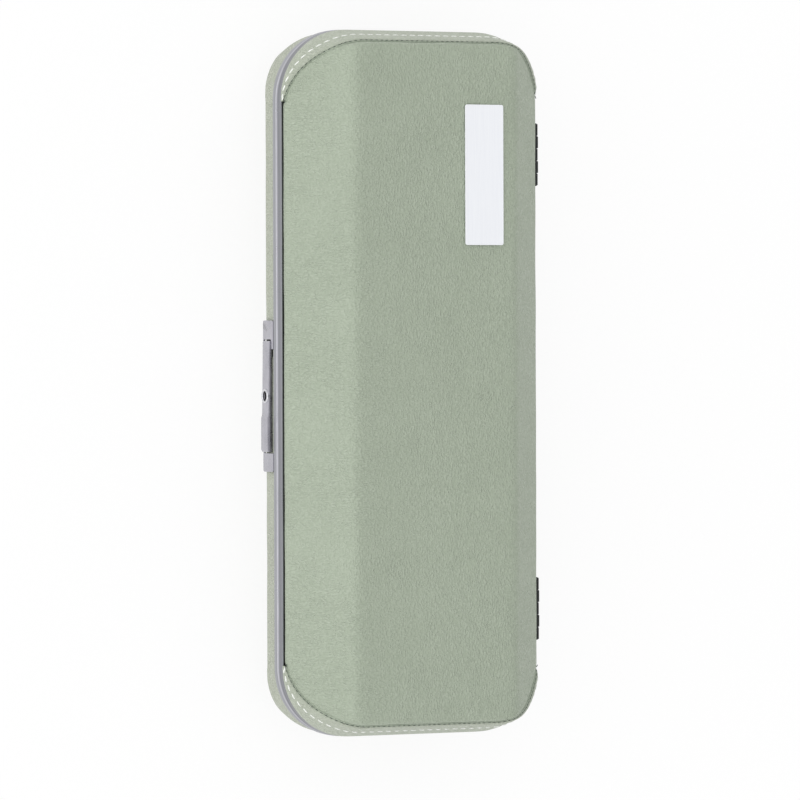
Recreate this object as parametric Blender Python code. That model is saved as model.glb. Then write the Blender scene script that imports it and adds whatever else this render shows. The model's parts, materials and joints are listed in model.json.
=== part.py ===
"""Oboe case: a slim hard case in two halves, covered in soft grained leatherette.

Metres, +Z up. The case lies on the flat crown of its base. X runs along the case, the latch is
at -Y, the hinges are at +Y, and the seam between the halves is level. Depths of a half are
counted from the seam: down in the base, up in the lid.
"""

import math

import bmesh
import bpy
from mathutils import Vector

# Whole case
case_length = 0.320
case_width = 0.130
corner_radius = 0.032
base_depth = 0.037
lid_depth = 0.0315
end_draft = 0.0058
fit_gap = 0.0003
overrun = 0.003
corner_steps = 8
ridge_steps = 3
round_steps = 16
small_steps = 12

# Form of each half, measured on the outside of its covering
base_wall_depth = 0.0145
base_crown_width = 0.082
base_wall_ridge = 0.006
base_crown_ridge = 0.006
lid_wall_depth = 0.0060
lid_crown_width = 0.0814
lid_wall_ridge = 0.0015
lid_crown_ridge = 0.0065

# Layers of the wall
cover_setback = 0.0010
cover_thickness = 0.0009
shell_thickness = 0.0016
lining_thickness = 0.0030
prism_margin = 0.0001

# Aluminium rails round the mouth of each half
seam_gap = 0.0003
rail_height = 0.0045
rail_flange = 0.0016
rail_web = 0.0020
rail_lip = 0.0010
base_lip_depth = 0.0055
lid_lip_depth = 0.0044
rail_edge = 0.0005

# Rubber seal between the rails
seal_inset = 0.0021
seal_width = 0.0012
seal_height = 0.0018
groove_depth = 0.0011

# Hinges, let into the meeting faces of the rails
hinge_setback = 0.0555
hinge_length = 0.0285
knuckle_count = 5
base_knuckle_radius = 0.0014
lid_knuckle_radius = 0.0018
knuckle_gap = 0.0003
hinge_pin_radius = 0.0006
hinge_bore_radius = 0.0009
leaf_thickness = 0.0009
leaf_width = 0.0043
hinge_rivet_spacing = 0.0205
hinge_rivet_radius = 0.0006
rivet_head_radius = 0.0011
rivet_head_height = 0.0005
rivet_play = 0.0003

# Latch plate on the front wall of the base
latch_centre = 0.0057
latch_plate_end = 0.00905
latch_plate_height = 0.0091
latch_plate_thickness = 0.0009
latch_plate_corner = 0.0008
latch_frame = 0.0012
stud_setback = 0.00355
stud_radius = 0.0010
stud_play = 0.0003
nut_radius = 0.0022
nut_thickness = 0.0008

# Lever, hung on an upright pin at its left end
lever_length = 0.0504
lever_height = 0.0065
lever_heel_radius = 0.0020
lever_rise = 0.00035
lever_lip_length = 0.0165
lever_lip_rise = 0.0006
lever_lip_slope = 0.0010
lever_end_round = 0.0008
lever_bevel = 0.0003
lever_pin_radius = 0.0008
lever_pin_play = 0.00022
lever_tail_reach = 0.0076
lever_tail_tip = 0.0010
lever_tail_width = 0.0011
lever_tail_height = 0.00175
lever_heel_steps = 12

# Sliding bolt, its bracket and its spring
bracket_thickness = 0.0010
bracket_end = 0.0023
bracket_height = 0.0068
bolt_thickness = 0.0012
bolt_back_length = 0.0040
bolt_inner_depth = 0.0044
bolt_stem_width = 0.0040
bolt_stem_start = 0.0202
bolt_stem_thickness = 0.0017
bolt_nose_length = 0.0042
bolt_nose_height = 0.0015
bolt_nose_lift = 0.0003
shelf_clearance = 0.0005
shelf_length = 0.0222
spring_room = 0.0118
spring_radius = 0.0013
spring_wire = 0.0003
spring_turns = 6
spring_turn_steps = 9

# Keeper in the lid
keeper_thickness = 0.0008
keeper_lip_length = 0.0123
keeper_lip_depth = 0.0032
keeper_lip_top = 0.0044
keeper_lip_thickness = 0.0010
keeper_left = 0.0162
keeper_length = 0.0342
keeper_rivet_margin = 0.0018
keeper_rivet_level = 0.0033
keeper_rivet_radius = 0.0006
keeper_rivet_seat = 0.0001

# Lock through the lever
lock_radius = 0.0022
lock_proud = 0.0002
lock_play = 0.0003
collar_radius = 0.0033
collar_height = 0.0007
collar_proud = 0.0003
keyway_width = 0.0009
keyway_length = 0.0030
keyway_depth = 0.0012
cam_length = 0.0090
cam_width = 0.0030
cam_thickness = 0.0009
cam_stub_radius = 0.0010
cam_play = 0.0010

# Cradle inside the base
deck_drop = 0.0015
well_margin = 0.0030
centre_well_width = 0.0410
bell_well_length = 0.1350
bell_well_depth = 0.0285
tool_well_length = 0.1350
tool_well_depth = 0.0240
lower_joint_width = 0.0300
lower_joint_length = 0.2650
upper_joint_width = 0.0260
upper_joint_length = 0.2500
joint_well_depth = 0.0220
well_bridge = 0.0100
trough_steps = 8
latch_pocket_depth = 0.0061
latch_pocket_end = 0.0025
latch_pocket_drop = 0.0150

# Pocket in the lining of the lid, over the nose of the bolt
lining_pocket_length = 0.0400
lining_pocket_reach = 0.0120
lining_pocket_rise = 0.0120

# Bare plate on the lid
name_plate_length = 0.0635
name_plate_width = 0.0193
name_plate_thickness = 0.0006
name_plate_corner = 0.0010
name_plate_setback = 0.03415
name_plate_y = 0.0241
name_plate_seat = 0.0003
plate_corner_steps = 3

# Places that follow from the sizes above
seam_level = base_depth
half_seam = seam_gap / 2
cover_half_length = case_length / 2 - cover_setback
cover_half_width = case_width / 2 - cover_setback
cover_radius = corner_radius - cover_setback
shell_inset = cover_thickness + fit_gap
shell_inner_inset = shell_inset + shell_thickness
lip_inset = shell_inner_inset + fit_gap
room_inset = lip_inset + rail_lip + fit_gap
rail_width = cover_setback + lip_inset + rail_lip
cover_rim = rail_height + fit_gap
web_top = half_seam + rail_web
shell_rim = web_top + fit_gap

hinge_offset = case_length / 2 - hinge_setback
hinge_axis_y = case_width / 2 + fit_gap + lid_knuckle_radius
leaf_outer_y = case_width / 2
leaf_inner_y = leaf_outer_y - leaf_width
leaf_floor = half_seam + leaf_thickness
hinge_rivet_y = case_width / 2 - rail_flange - (cover_setback + lip_inset - rail_flange) / 2

front = -cover_half_width
latch_middle = -(cover_rim + latch_plate_height / 2)
plate_back = front - fit_gap
plate_front = plate_back - latch_plate_thickness
latch_plate_half = lever_length / 2 + latch_plate_end
stud_offset = latch_plate_half - stud_setback
bracket_half = stud_offset + bracket_end
latch_pocket_half = bracket_half + latch_pocket_end
lever_start_x = latch_centre - lever_length / 2
lever_pivot_x = lever_start_x + lever_heel_radius
lever_pivot_y = front
lever_end_x = lever_start_x + lever_length
lever_inner_y = front - fit_gap
bracket_outer_y = front + lip_inset
bracket_inner_y = bracket_outer_y + bracket_thickness
cam_outer_y = bracket_inner_y + fit_gap
cam_inner_y = cam_outer_y + cam_thickness
bolt_outer_y = cam_inner_y + fit_gap
bolt_inner_y = bolt_outer_y + bolt_inner_depth
bolt_left_x = lever_pivot_x - bolt_back_length
bolt_stem_x = lever_pivot_x + bolt_stem_start
bolt_right_x = bolt_stem_x + bolt_stem_width


def clear_scene():
    """Leave an empty scene, whatever was open."""
    for obj in list(bpy.data.objects):
        bpy.data.objects.remove(obj, do_unlink=True)


# Materials


def material(name, colour, roughness, metallic):
    """One Principled material with the piece's own colour and gloss."""
    made = bpy.data.materials.new(name)
    made.use_nodes = True
    shader = made.node_tree.nodes["Principled BSDF"]
    shader.inputs["Base Color"].default_value = (*colour, 1.0)
    shader.inputs["Roughness"].default_value = roughness
    shader.inputs["Metallic"].default_value = metallic
    return made


def leatherette():
    return material("sage_leatherette", (0.37, 0.43, 0.33), 0.55, 0.0)


def shell_plastic():
    return material("shell_abs", (0.09, 0.10, 0.09), 0.45, 0.0)


def anodised_rail():
    return material("anodised_aluminium", (0.55, 0.55, 0.57), 0.32, 1.0)


def satin_steel():
    return material("satin_zinc", (0.47, 0.47, 0.50), 0.35, 1.0)


def spring_steel():
    return material("spring_steel", (0.40, 0.40, 0.41), 0.30, 1.0)


def black_steel():
    return material("black_lacquered_steel", (0.02, 0.024, 0.022), 0.40, 0.3)


def seal_rubber():
    return material("seal_rubber", (0.03, 0.03, 0.03), 0.80, 0.0)


def plush():
    return material("grey_plush", (0.06, 0.07, 0.065), 0.95, 0.0)


def plate_enamel():
    return material("white_plate", (0.84, 0.85, 0.87), 0.25, 0.2)


# Building blocks


def add_object(name, bm, finish=None, parent=None, place=(0, 0, 0)):
    """Turn a bmesh into an object whose world origin is the given place."""
    bmesh.ops.remove_doubles(bm, verts=bm.verts, dist=0)
    bmesh.ops.recalc_face_normals(bm, faces=bm.faces)
    mesh = bpy.data.meshes.new(name)
    bm.to_mesh(mesh)
    bm.free()
    mesh.shade_smooth()
    mesh.set_sharp_from_angle(angle=math.radians(30))
    obj = bpy.data.objects.new(name, mesh)
    bpy.context.scene.collection.objects.link(obj)
    obj.location = Vector(place)
    if parent:
        obj.parent = parent
        obj.location = Vector(place) - parent.location
    if finish:
        mesh.materials.append(finish)
    return obj


def add_pivot(name, place):
    """An empty on a joint's axis, which carries what moves with the joint."""
    pivot = bpy.data.objects.new(name, None)
    bpy.context.scene.collection.objects.link(pivot)
    pivot.location = Vector(place)
    return pivot


def loft(rings):
    """A closed solid through rings of equal count, with both ends capped."""
    bm = bmesh.new()
    rows = [[bm.verts.new(point) for point in ring] for ring in rings]
    count = len(rows[0])
    for lower, upper in zip(rows, rows[1:]):
        for i in range(count):
            j = (i + 1) % count
            bm.faces.new((lower[i], lower[j], upper[j], upper[i]))
    bm.faces.new(list(reversed(rows[0])))
    bm.faces.new(rows[-1])
    return bm


def box(low, high):
    """A box between two corners."""
    (x0, y0, z0), (x1, y1, z1) = low, high
    ring = [(x0, y0), (x1, y0), (x1, y1), (x0, y1)]
    return loft([[(x, y, z) for x, y in ring] for z in (z0, z1)])


def circle(radius, steps):
    """Points of a circle, counter-clockwise."""
    turn = 2 * math.pi / steps
    return [(radius * math.cos(turn * i), radius * math.sin(turn * i)) for i in range(steps)]


def along_x(outline, start, end):
    """Extrude a (y, z) outline along X."""
    return loft([[(x, y, z) for y, z in outline] for x in (start, end)])


def along_y(outline, start, end):
    """Extrude an (x, z) outline along Y."""
    return loft([[(x, y, z) for x, z in outline] for y in (start, end)])


def along_z(outline, start, end):
    """Extrude an (x, y) outline along Z."""
    return loft([[(x, y, z) for x, y in outline] for z in (start, end)])


def turned_along_y(profile, steps):
    """Turn (radius, y) steps about the Y axis into a closed solid."""
    return loft([[(x, y, z) for x, z in circle(radius, steps)] for radius, y in profile])


def helper(name, bm, parent=None, place=(0, 0, 0)):
    """A cutter or a piece to be united, left out of the render."""
    obj = add_object(name, bm, None, parent, place)
    obj.hide_render = True
    obj.display_type = "WIRE"
    return obj


def combine(obj, other, operation):
    """Cut, keep or unite with another object."""
    modifier = obj.modifiers.new(other.name, "BOOLEAN")
    modifier.operation = operation
    modifier.object = other
    modifier.solver = "EXACT"
    return obj


def cut(obj, *cutters):
    for cutter in cutters:
        combine(obj, cutter, "DIFFERENCE")
    return obj


def keep(obj, other):
    return combine(obj, other, "INTERSECT")


def unite(obj, *others):
    for other in others:
        combine(obj, other, "UNION")
    return obj


def rounded_outline(half_x, half_y, radius, steps):
    """A rectangle with round corners, counter-clockwise from the right of the +X side."""
    points = []
    for corner, (sx, sy) in enumerate(((1, 1), (-1, 1), (-1, -1), (1, -1))):
        cx = sx * (half_x - radius)
        cy = sy * (half_y - radius)
        for i in range(steps + 1):
            angle = math.pi / 2 * (corner + i / steps)
            points.append((cx + radius * math.cos(angle), cy + radius * math.sin(angle)))
    return points


# Form of a half


class Half:
    """The outside of one half: a drafted prism with round corners under a roof of facets."""

    def __init__(self, name, sign, depth, wall, crown_width, wall_ridge, crown_ridge):
        self.name = name
        self.sign = sign
        self.depth = depth
        self.wall = wall
        self.crown_width = crown_width
        self.wall_ridge = wall_ridge
        self.crown_ridge = crown_ridge


base = Half("base", -1, base_depth, base_wall_depth, base_crown_width, base_wall_ridge, base_crown_ridge)
lid = Half("lid", 1, lid_depth, lid_wall_depth, lid_crown_width, lid_wall_ridge, lid_crown_ridge)


def rounded_corner(before, corner, after, radius):
    """Replace a corner of an outline with an arc."""
    if radius <= 0:
        return [corner]
    back = (before - corner).normalized()
    ahead = (after - corner).normalized()
    half_angle = back.angle(ahead) / 2
    middle = corner + (back + ahead).normalized() * radius / math.sin(half_angle)
    start = corner + back * radius / math.tan(half_angle) - middle
    end = corner + ahead * radius / math.tan(half_angle) - middle
    points = []
    for i in range(ridge_steps + 1):
        share = i / ridge_steps
        points.append(middle + start.slerp(end, share).normalized() * radius)
    return points


def roof_side(half, inset):
    """One side of the roof as (y, depth) points, from its wall to its crown."""
    crown_y = half.crown_width / 2
    facet = Vector((crown_y - cover_half_width, half.depth - half.wall))
    run = facet.normalized()
    inward = Vector((-run.y, run.x)) * inset
    start = Vector((cover_half_width, half.wall)) + inward
    wall_y = cover_half_width - inset
    crown_depth = half.depth - inset
    low = start + run * ((wall_y - start.x) / run.x)
    high = start + run * ((crown_depth - start.y) / run.y)
    foot = Vector((wall_y, -half.depth))
    centre = Vector((0, crown_depth))
    points = rounded_corner(foot, low, high, half.wall_ridge - inset)
    points += rounded_corner(low, high, centre, half.crown_ridge - inset)
    return [(point.x, point.y) for point in points]


def roof_arch(half, inset, rim):
    """The whole roof from the foot of one wall to the foot of the other."""
    side = roof_side(half, inset)
    side = [(side[0][0], rim)] + [point for point in side if point[1] > rim]
    return side + [(-y, depth) for y, depth in reversed(side)]


def roof_block(half, inset, rim, start_x, end_x):
    """All that lies under the roof at an inset, as a solid that runs along X."""
    arch = [(y, half.sign * depth) for y, depth in roof_arch(half, inset, rim)]
    return along_x(arch, start_x, end_x)


def wall_block(half, inset, rim):
    """All that lies within the drafted end walls and side walls at an inset."""
    over = half.depth + overrun
    draft = end_draft * (over - half.wall) / (half.depth - half.wall)
    rings = []
    for depth, taper in ((rim, 0), (half.wall, 0), (over, draft)):
        back = inset + taper
        outline = rounded_outline(
            cover_half_length - back,
            cover_half_width + prism_margin - back,
            cover_radius - back,
            corner_steps,
        )
        rings.append([(x, y, half.sign * depth) for x, y in outline])
    return loft(rings)


def half_solid(half, name, inset, rim, parent, place):
    """The full solid of a half at an inset, as a helper."""
    reach = case_length
    solid = helper(name, roof_block(half, inset, rim, -reach, reach), parent, place)
    walls = helper(name + "_walls", wall_block(half, inset, rim - overrun), parent, place)
    return keep(solid, walls)


# Shells, covers and lining


def make_shell(half, parent, place):
    """Hard inner shell, whose mouth stands in the channel of the rail."""
    reach = case_length
    shell = add_object(
        half.name + "_shell",
        roof_block(half, shell_inset, shell_rim, -reach, reach),
        shell_plastic(),
        parent,
        place,
    )
    walls = wall_block(half, shell_inset, shell_rim - overrun)
    keep(shell, helper(half.name + "_shell_walls", walls, parent, place))
    hollow = half_solid(half, half.name + "_hollow", shell_inner_inset, -overrun, parent, place)
    return cut(shell, hollow)


def make_cover_panel(half, finish, parent, place):
    """Leatherette over the crown and the two long facets, turned down to the rail."""
    outer = roof_arch(half, 0, cover_rim)
    inner = roof_arch(half, cover_thickness, cover_rim)
    band = [(y, half.sign * depth) for y, depth in outer + inner[::-1]]
    reach = case_length
    panel = add_object(half.name + "_cover_panel", along_x(band, -reach, reach), finish, parent, place)
    walls = wall_block(half, 0, cover_rim - overrun)
    return keep(panel, helper(half.name + "_panel_walls", walls, parent, place))


def make_cover_end(half, side, sign, finish, parent, place):
    """Leatherette band round one end, under the edge of the panel."""
    far = case_length
    near = hinge_offset - hinge_length
    span = sorted((sign * near, sign * far))
    under = roof_block(half, shell_inset, cover_rim, *span)
    name = half.name + "_cover_end_" + side
    band = add_object(name, under, finish, parent, place)
    outside = wall_block(half, 0, cover_rim - overrun)
    inside = wall_block(half, cover_thickness, cover_rim - overrun)
    keep(band, helper(name + "_outside", outside, parent, place))
    return cut(band, helper(name + "_inside", inside, parent, place))


def make_lining(parent, place):
    """Padded plush lining of the lid, with a pocket over the nose of the bolt."""
    rim = lid_lip_depth + fit_gap
    reach = case_length
    lining = add_object(
        "lid_lining",
        roof_block(lid, lip_inset, rim, -reach, reach),
        plush(),
        parent,
        place,
    )
    walls = wall_block(lid, lip_inset, rim - overrun)
    keep(lining, helper("lining_walls", walls, parent, place))
    inset = lip_inset + lining_thickness
    hollow = half_solid(lid, "lining_hollow", inset, -overrun, parent, place)
    middle = bolt_stem_x
    low = (middle - lining_pocket_length / 2, front, 0)
    high = (middle + lining_pocket_length / 2, front + lining_pocket_reach, lining_pocket_rise)
    pocket = helper("lining_pocket", box(low, high), parent, place)
    return cut(lining, hollow, pocket)


# Rails and seal


def ring_of(profile, sign):
    """Sweep an (inset, depth) profile round the outline of the case."""
    bm = bmesh.new()
    rows = []
    for inset, depth in profile:
        outline = rounded_outline(
            case_length / 2 - inset, case_width / 2 - inset, corner_radius - inset, corner_steps
        )
        rows.append([bm.verts.new((x, y, sign * depth)) for x, y in outline])
    count = len(rows[0])
    for row, after in zip(rows, rows[1:] + rows[:1]):
        for i in range(count):
            j = (i + 1) % count
            bm.faces.new((row[i], row[j], after[j], after[i]))
    return bm


def rail_profile(lip_depth):
    """Channel section: outer flange, web with the groove of the seal, inner lip."""
    lip_outer = cover_setback + lip_inset
    lip_inner = lip_outer + rail_lip
    groove_start = seal_inset - fit_gap
    groove_end = seal_inset + seal_width + fit_gap
    groove_floor = half_seam + groove_depth
    return [
        (rail_edge, half_seam),
        (0, half_seam + rail_edge),
        (0, rail_height - rail_edge),
        (rail_edge, rail_height),
        (rail_flange, rail_height),
        (rail_flange, web_top),
        (lip_outer, web_top),
        (lip_outer, lip_depth),
        (lip_inner, lip_depth),
        (lip_inner, half_seam),
        (groove_end, half_seam),
        (groove_end, groove_floor),
        (groove_start, groove_floor),
        (groove_start, half_seam),
    ]


def make_rail(half, lip_depth, parent, place):
    """Aluminium rail of one half, drilled for its hinge rivets."""
    bm = ring_of(rail_profile(lip_depth), half.sign)
    rail = add_object(half.name + "_rail", bm, anodised_rail(), parent, place)
    for side, sign in (("left", -1), ("right", 1)):
        cut(rail, hinge_recess(half, side, sign, parent, place))
    radius = hinge_rivet_radius + rivet_play
    for number, x in enumerate(hinge_rivet_places(), 1):
        name = f"{half.name}_rail_hole_{number}"
        cut(rail, rivet_bore(name, radius, half, x, -overrun, overrun, parent, place))
    return rail


def make_seal(finish, place):
    """Rubber strip in the groove of the base's rail, in two lengths that stop at the hinges."""
    low = -(half_seam + groove_depth - fit_gap)
    high = low + seal_height
    inner = seal_inset + seal_width
    crown = seal_width / 4
    profile = [
        (seal_inset, low),
        (seal_inset, high - crown),
        (seal_inset + crown, high),
        (inner - crown, high),
        (inner, high - crown),
        (inner, low),
    ]
    outer_end = hinge_offset + hinge_length / 2 + fit_gap + fit_gap
    inner_end = hinge_offset - hinge_length / 2 - fit_gap - fit_gap
    seal = add_object("rim_seal", ring_of(profile, 1), finish, None, place)
    span = box((-outer_end, 0, -overrun), (outer_end, case_width, overrun))
    cut(seal, helper("seal_back_span", span, None, place))
    spine = add_object("rim_seal_spine", ring_of(profile, 1), finish, None, place)
    span = box((-inner_end, 0, -overrun), (inner_end, case_width, overrun))
    keep(spine, helper("seal_spine_span", span, None, place))


# Hinges


def hinge_rivet_places():
    """X of the four rivets of one half, two to a hinge."""
    half_spacing = hinge_rivet_spacing / 2
    return [side * hinge_offset + way * half_spacing for side in (-1, 1) for way in (-1, 1)]


def hinge_recess(half, side, sign, parent, place):
    """Cutter for the recess of a leaf in the meeting face of a rail."""
    reach = hinge_length / 2 + fit_gap
    depths = sorted((-half.sign * half_seam, half.sign * (leaf_floor + fit_gap)))
    inner = case_width / 2 - rail_width - fit_gap
    low = (sign * hinge_offset - reach, inner, depths[0])
    high = (sign * hinge_offset + reach, case_width / 2 + fit_gap, depths[1])
    return helper(f"{half.name}_hinge_recess_{side}", box(low, high), parent, place)


def rivet_bore(name, radius, half, x, start, end, parent, place):
    """Upright cutter at a hinge rivet, between two depths of a half."""
    outline = [(x + a, hinge_rivet_y + b) for a, b in circle(radius, small_steps)]
    depths = sorted((half.sign * start, half.sign * end))
    return helper(name, along_z(outline, *depths), parent, place)


def make_leaf(half, side, centre_x, knuckles, radius, finish, parent, seam_place):
    """One hinge leaf: a plate in the seam, with its share of the knuckles outside."""
    name = f"hinge_{half.name}_leaf_{side}"
    place = Vector((centre_x, hinge_axis_y, seam_level))
    depths = sorted((half.sign * half_seam, half.sign * leaf_floor))
    half_length = hinge_length / 2
    pitch = hinge_length / knuckle_count
    root = leaf_outer_y - hinge_axis_y
    comb = [(half_length, leaf_inner_y - hinge_axis_y), (half_length, root)]
    barrels = []
    for index in reversed(knuckles):
        start = -half_length + index * pitch + knuckle_gap / 2
        end = start + pitch - knuckle_gap
        strap = (start + knuckle_gap, end - knuckle_gap)
        comb += [(strap[1], root), (strap[1], 0), (strap[0], 0), (strap[0], root)]
        barrels.append((start, end))
    comb += [(-half_length, root), (-half_length, leaf_inner_y - hinge_axis_y)]
    leaf = add_object(name, along_z(comb, *depths), finish, parent, place)
    for number, (start, end) in enumerate(barrels, 1):
        barrel = along_x(circle(radius, round_steps), start, end)
        unite(leaf, helper(f"{name}_knuckle_{number}", barrel, parent, place))
    reach = half_length + overrun
    bore = along_x(circle(hinge_bore_radius, small_steps), -reach, reach)
    cut(leaf, helper(name + "_bore", bore, parent, place))
    shank = hinge_rivet_radius + rivet_play
    head = rivet_head_radius + rivet_play
    head_end = half_seam + rivet_head_height
    for number, x in enumerate(hinge_rivet_places(), 1):
        if abs(x - centre_x) < hinge_length:
            hole = f"{name}_hole_{number}"
            cut(leaf, rivet_bore(hole, shank, half, x, -overrun, overrun, parent, seam_place))
            seat = f"{name}_seat_{number}"
            cut(leaf, rivet_bore(seat, head, half, x, -overrun, head_end, parent, seam_place))
    return leaf


def make_hinge_pin(side, centre_x, finish):
    """Pin through all five knuckles."""
    pin = along_x(circle(hinge_pin_radius, small_steps), -hinge_length / 2, hinge_length / 2)
    place = (centre_x, hinge_axis_y, seam_level)
    return add_object("hinge_pin_" + side, pin, finish, None, place)


def make_hinge_rivet(half, number, x, finish, parent):
    """Flush rivet through the leaf and the web of the rail."""
    tail = web_top
    head_end = half_seam + rivet_head_height - rivet_play / 2
    rings = []
    for radius, depth in (
        (rivet_head_radius, half_seam),
        (rivet_head_radius, head_end),
        (hinge_rivet_radius, head_end),
        (hinge_rivet_radius, tail),
    ):
        outline = circle(radius, small_steps)
        rings.append([(x, y, half.sign * depth) for x, y in outline])
    place = (x, hinge_rivet_y, seam_level)
    return add_object(f"hinge_{half.name}_rivet_{number}", loft(rings), finish, parent, place)


def make_hinges(half, knuckles, radius, finish, parent, seam_place):
    for side, sign in (("left", -1), ("right", 1)):
        centre_x = sign * hinge_offset
        make_leaf(half, side, centre_x, knuckles, radius, finish, parent, seam_place)
    for number, x in enumerate(hinge_rivet_places(), 1):
        make_hinge_rivet(half, number, x, finish, parent)


# Latch: what is fixed to the base


def opening_cutters(name, place):
    """Cutters for the holes behind the latch: one for the lever, one for the lock, two for studs."""
    outer = front - overrun
    inner = bracket_inner_y + overrun
    heel_room = lever_height / 2 + latch_frame + fit_gap
    left = lever_pivot_x - lever_heel_radius - fit_gap - fit_gap
    right = lever_pivot_x + lever_tail_reach - lever_heel_radius
    low = (left, outer, latch_middle - heel_room)
    high = (right, inner, latch_middle + heel_room)
    cutters = [helper(name + "_lever_hole", box(low, high), None, place)]
    cutters.append(lock_cutter(name, outer, inner, place))
    return cutters + stud_cutters(name, outer, inner, place)


def lock_cutter(name, outer, inner, place):
    """Cutter for the slot that the cam passes when the lock is open."""
    half_x = cam_length / 2 + cam_play
    half_z = cam_width / 2 + cam_play
    low = (latch_centre - half_x, outer, latch_middle - half_z)
    high = (latch_centre + half_x, inner, latch_middle + half_z)
    return helper(name + "_lock_hole", box(low, high), None, place)


def stud_cutters(name, outer, inner, place):
    """Cutters for the two studs of the latch plate."""
    cutters = []
    for side, sign in (("left", -1), ("right", 1)):
        x = latch_centre + sign * stud_offset
        outline = [(x + a, latch_middle + b) for a, b in circle(stud_radius + stud_play, small_steps)]
        hole = along_y(outline, outer, inner)
        cutters.append(helper(f"{name}_stud_hole_{side}", hole, None, place))
    return cutters


def make_latch_plate(finish, place):
    """Plate round the lever, with ears for the lever's pin and two studs on its back."""
    half_x = latch_plate_half
    half_z = latch_plate_height / 2
    outline = rounded_outline(half_x, half_z, latch_plate_corner, plate_corner_steps)
    outline = [(latch_centre + x, latch_middle + z) for x, z in outline]
    plate = add_object("latch_plate", along_y(outline, plate_front, plate_back), finish, None, place)
    window_low = (
        lever_pivot_x - lever_heel_radius - fit_gap,
        plate_front - overrun,
        latch_middle - lever_height / 2 - fit_gap,
    )
    window_high = (
        lever_end_x + fit_gap,
        plate_back + overrun,
        latch_middle + lever_height / 2 + fit_gap,
    )
    cut(plate, helper("latch_window", box(window_low, window_high), None, place))
    root = (plate_front + plate_back) / 2
    for side, sign in (("low", -1), ("high", 1)):
        near = latch_middle + sign * (lever_height / 2 + fit_gap)
        far = latch_middle + sign * (half_z - fit_gap)
        depths = sorted((near, far))
        low = (lever_pivot_x - lever_heel_radius, root, depths[0])
        high = (lever_pivot_x + lever_heel_radius, lever_pivot_y + lever_heel_radius, depths[1])
        unite(plate, helper("latch_ear_" + side, box(low, high), None, place))
    for side, sign in (("left", -1), ("right", 1)):
        x = latch_centre + sign * stud_offset
        stud = [(x + a, latch_middle + b) for a, b in circle(stud_radius, small_steps)]
        end = bracket_inner_y + fit_gap + nut_thickness
        unite(plate, helper("latch_stud_" + side, along_y(stud, root, end), None, place))
    pin_room = circle(lever_pin_radius + lever_pin_play, small_steps)
    pin_room = [(lever_pivot_x + x, lever_pivot_y + y) for x, y in pin_room]
    reach = half_z + overrun
    bore = along_z(pin_room, latch_middle - reach, latch_middle + reach)
    return cut(plate, helper("latch_plate_bore", bore, None, place))


def make_lever_pin(finish):
    """Upright pin that the lever turns on."""
    reach = latch_plate_height / 2 - fit_gap
    pin = along_z(circle(lever_pin_radius, small_steps), -reach, reach)
    place = (lever_pivot_x, lever_pivot_y, seam_level + latch_middle)
    return add_object("lever_pin", pin, finish, None, place)


def make_latch_nut(side, sign, finish):
    """Six-sided nut on a stud, against the bracket."""
    nut = along_y(circle(nut_radius, 6), 0, nut_thickness)
    x = latch_centre + sign * stud_offset
    place = (x, bracket_inner_y + fit_gap, seam_level + latch_middle)
    made = add_object("latch_nut_" + side, nut, finish, None, place)
    bore = along_y(circle(stud_radius + stud_play, small_steps), -overrun, nut_thickness + overrun)
    return cut(made, helper(f"latch_nut_{side}_bore", bore, None, place))


def make_bracket(finish, place):
    """Plate inside the wall, with a shelf under the bolt and a tab behind its spring."""
    half_z = bracket_height / 2
    low = (latch_centre - bracket_half, bracket_outer_y, latch_middle - half_z)
    high = (latch_centre + bracket_half, bracket_inner_y, latch_middle + half_z)
    bracket = add_object("latch_bracket", box(low, high), finish, None, place)
    root = (bracket_outer_y + bracket_inner_y) / 2
    shelf_top = latch_middle - bolt_thickness / 2 - shelf_clearance
    shelf_low = (bolt_left_x - fit_gap, root, shelf_top - bracket_thickness)
    shelf_high = (bolt_left_x - fit_gap + shelf_length, bolt_inner_y, shelf_top)
    unite(bracket, helper("bracket_shelf", box(shelf_low, shelf_high), None, place))
    tab_x = bolt_right_x + spring_room
    tab_low = (tab_x, root, latch_middle - spring_radius - bracket_thickness)
    tab_high = (tab_x + bracket_thickness, bolt_inner_y, latch_middle + spring_radius + bracket_thickness)
    unite(bracket, helper("bracket_tab", box(tab_low, tab_high), None, place))
    outer = bracket_outer_y - overrun
    inner = bracket_inner_y + overrun
    tail_room = lever_tail_height / 2 + fit_gap
    tail_low = (lever_pivot_x - lever_heel_radius, outer, latch_middle - tail_room)
    tail_end = lever_pivot_x + lever_tail_reach - lever_heel_radius
    tail_high = (tail_end, bracket_inner_y + fit_gap, latch_middle + tail_room)
    cut(bracket, helper("bracket_tail_hole", box(tail_low, tail_high), None, place))
    cut(bracket, lock_cutter("bracket", outer, inner, place))
    return cut(bracket, *stud_cutters("bracket", outer, inner, place))


def make_spring(finish):
    """Compression spring that pushes the bolt shut."""
    length = spring_room - fit_gap - fit_gap - spring_wire - spring_wire
    count = spring_turns * spring_turn_steps
    curve = bpy.data.curves.new("latch_spring", "CURVE")
    curve.dimensions = "3D"
    curve.bevel_depth = spring_wire
    curve.bevel_resolution = 1
    curve.use_fill_caps = True
    spline = curve.splines.new("POLY")
    spline.points.add(count)
    for i, point in enumerate(spline.points):
        angle = 2 * math.pi * i / spring_turn_steps
        x = length * i / count
        point.co = (x, spring_radius * math.cos(angle), spring_radius * math.sin(angle), 1)
    obj = bpy.data.objects.new("latch_spring", curve)
    bpy.context.scene.collection.objects.link(obj)
    obj.location = (
        bolt_right_x + fit_gap + spring_wire,
        (bolt_outer_y + bolt_inner_y) / 2,
        seam_level + latch_middle,
    )
    curve.materials.append(finish)
    return obj


# Latch: what moves


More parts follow.
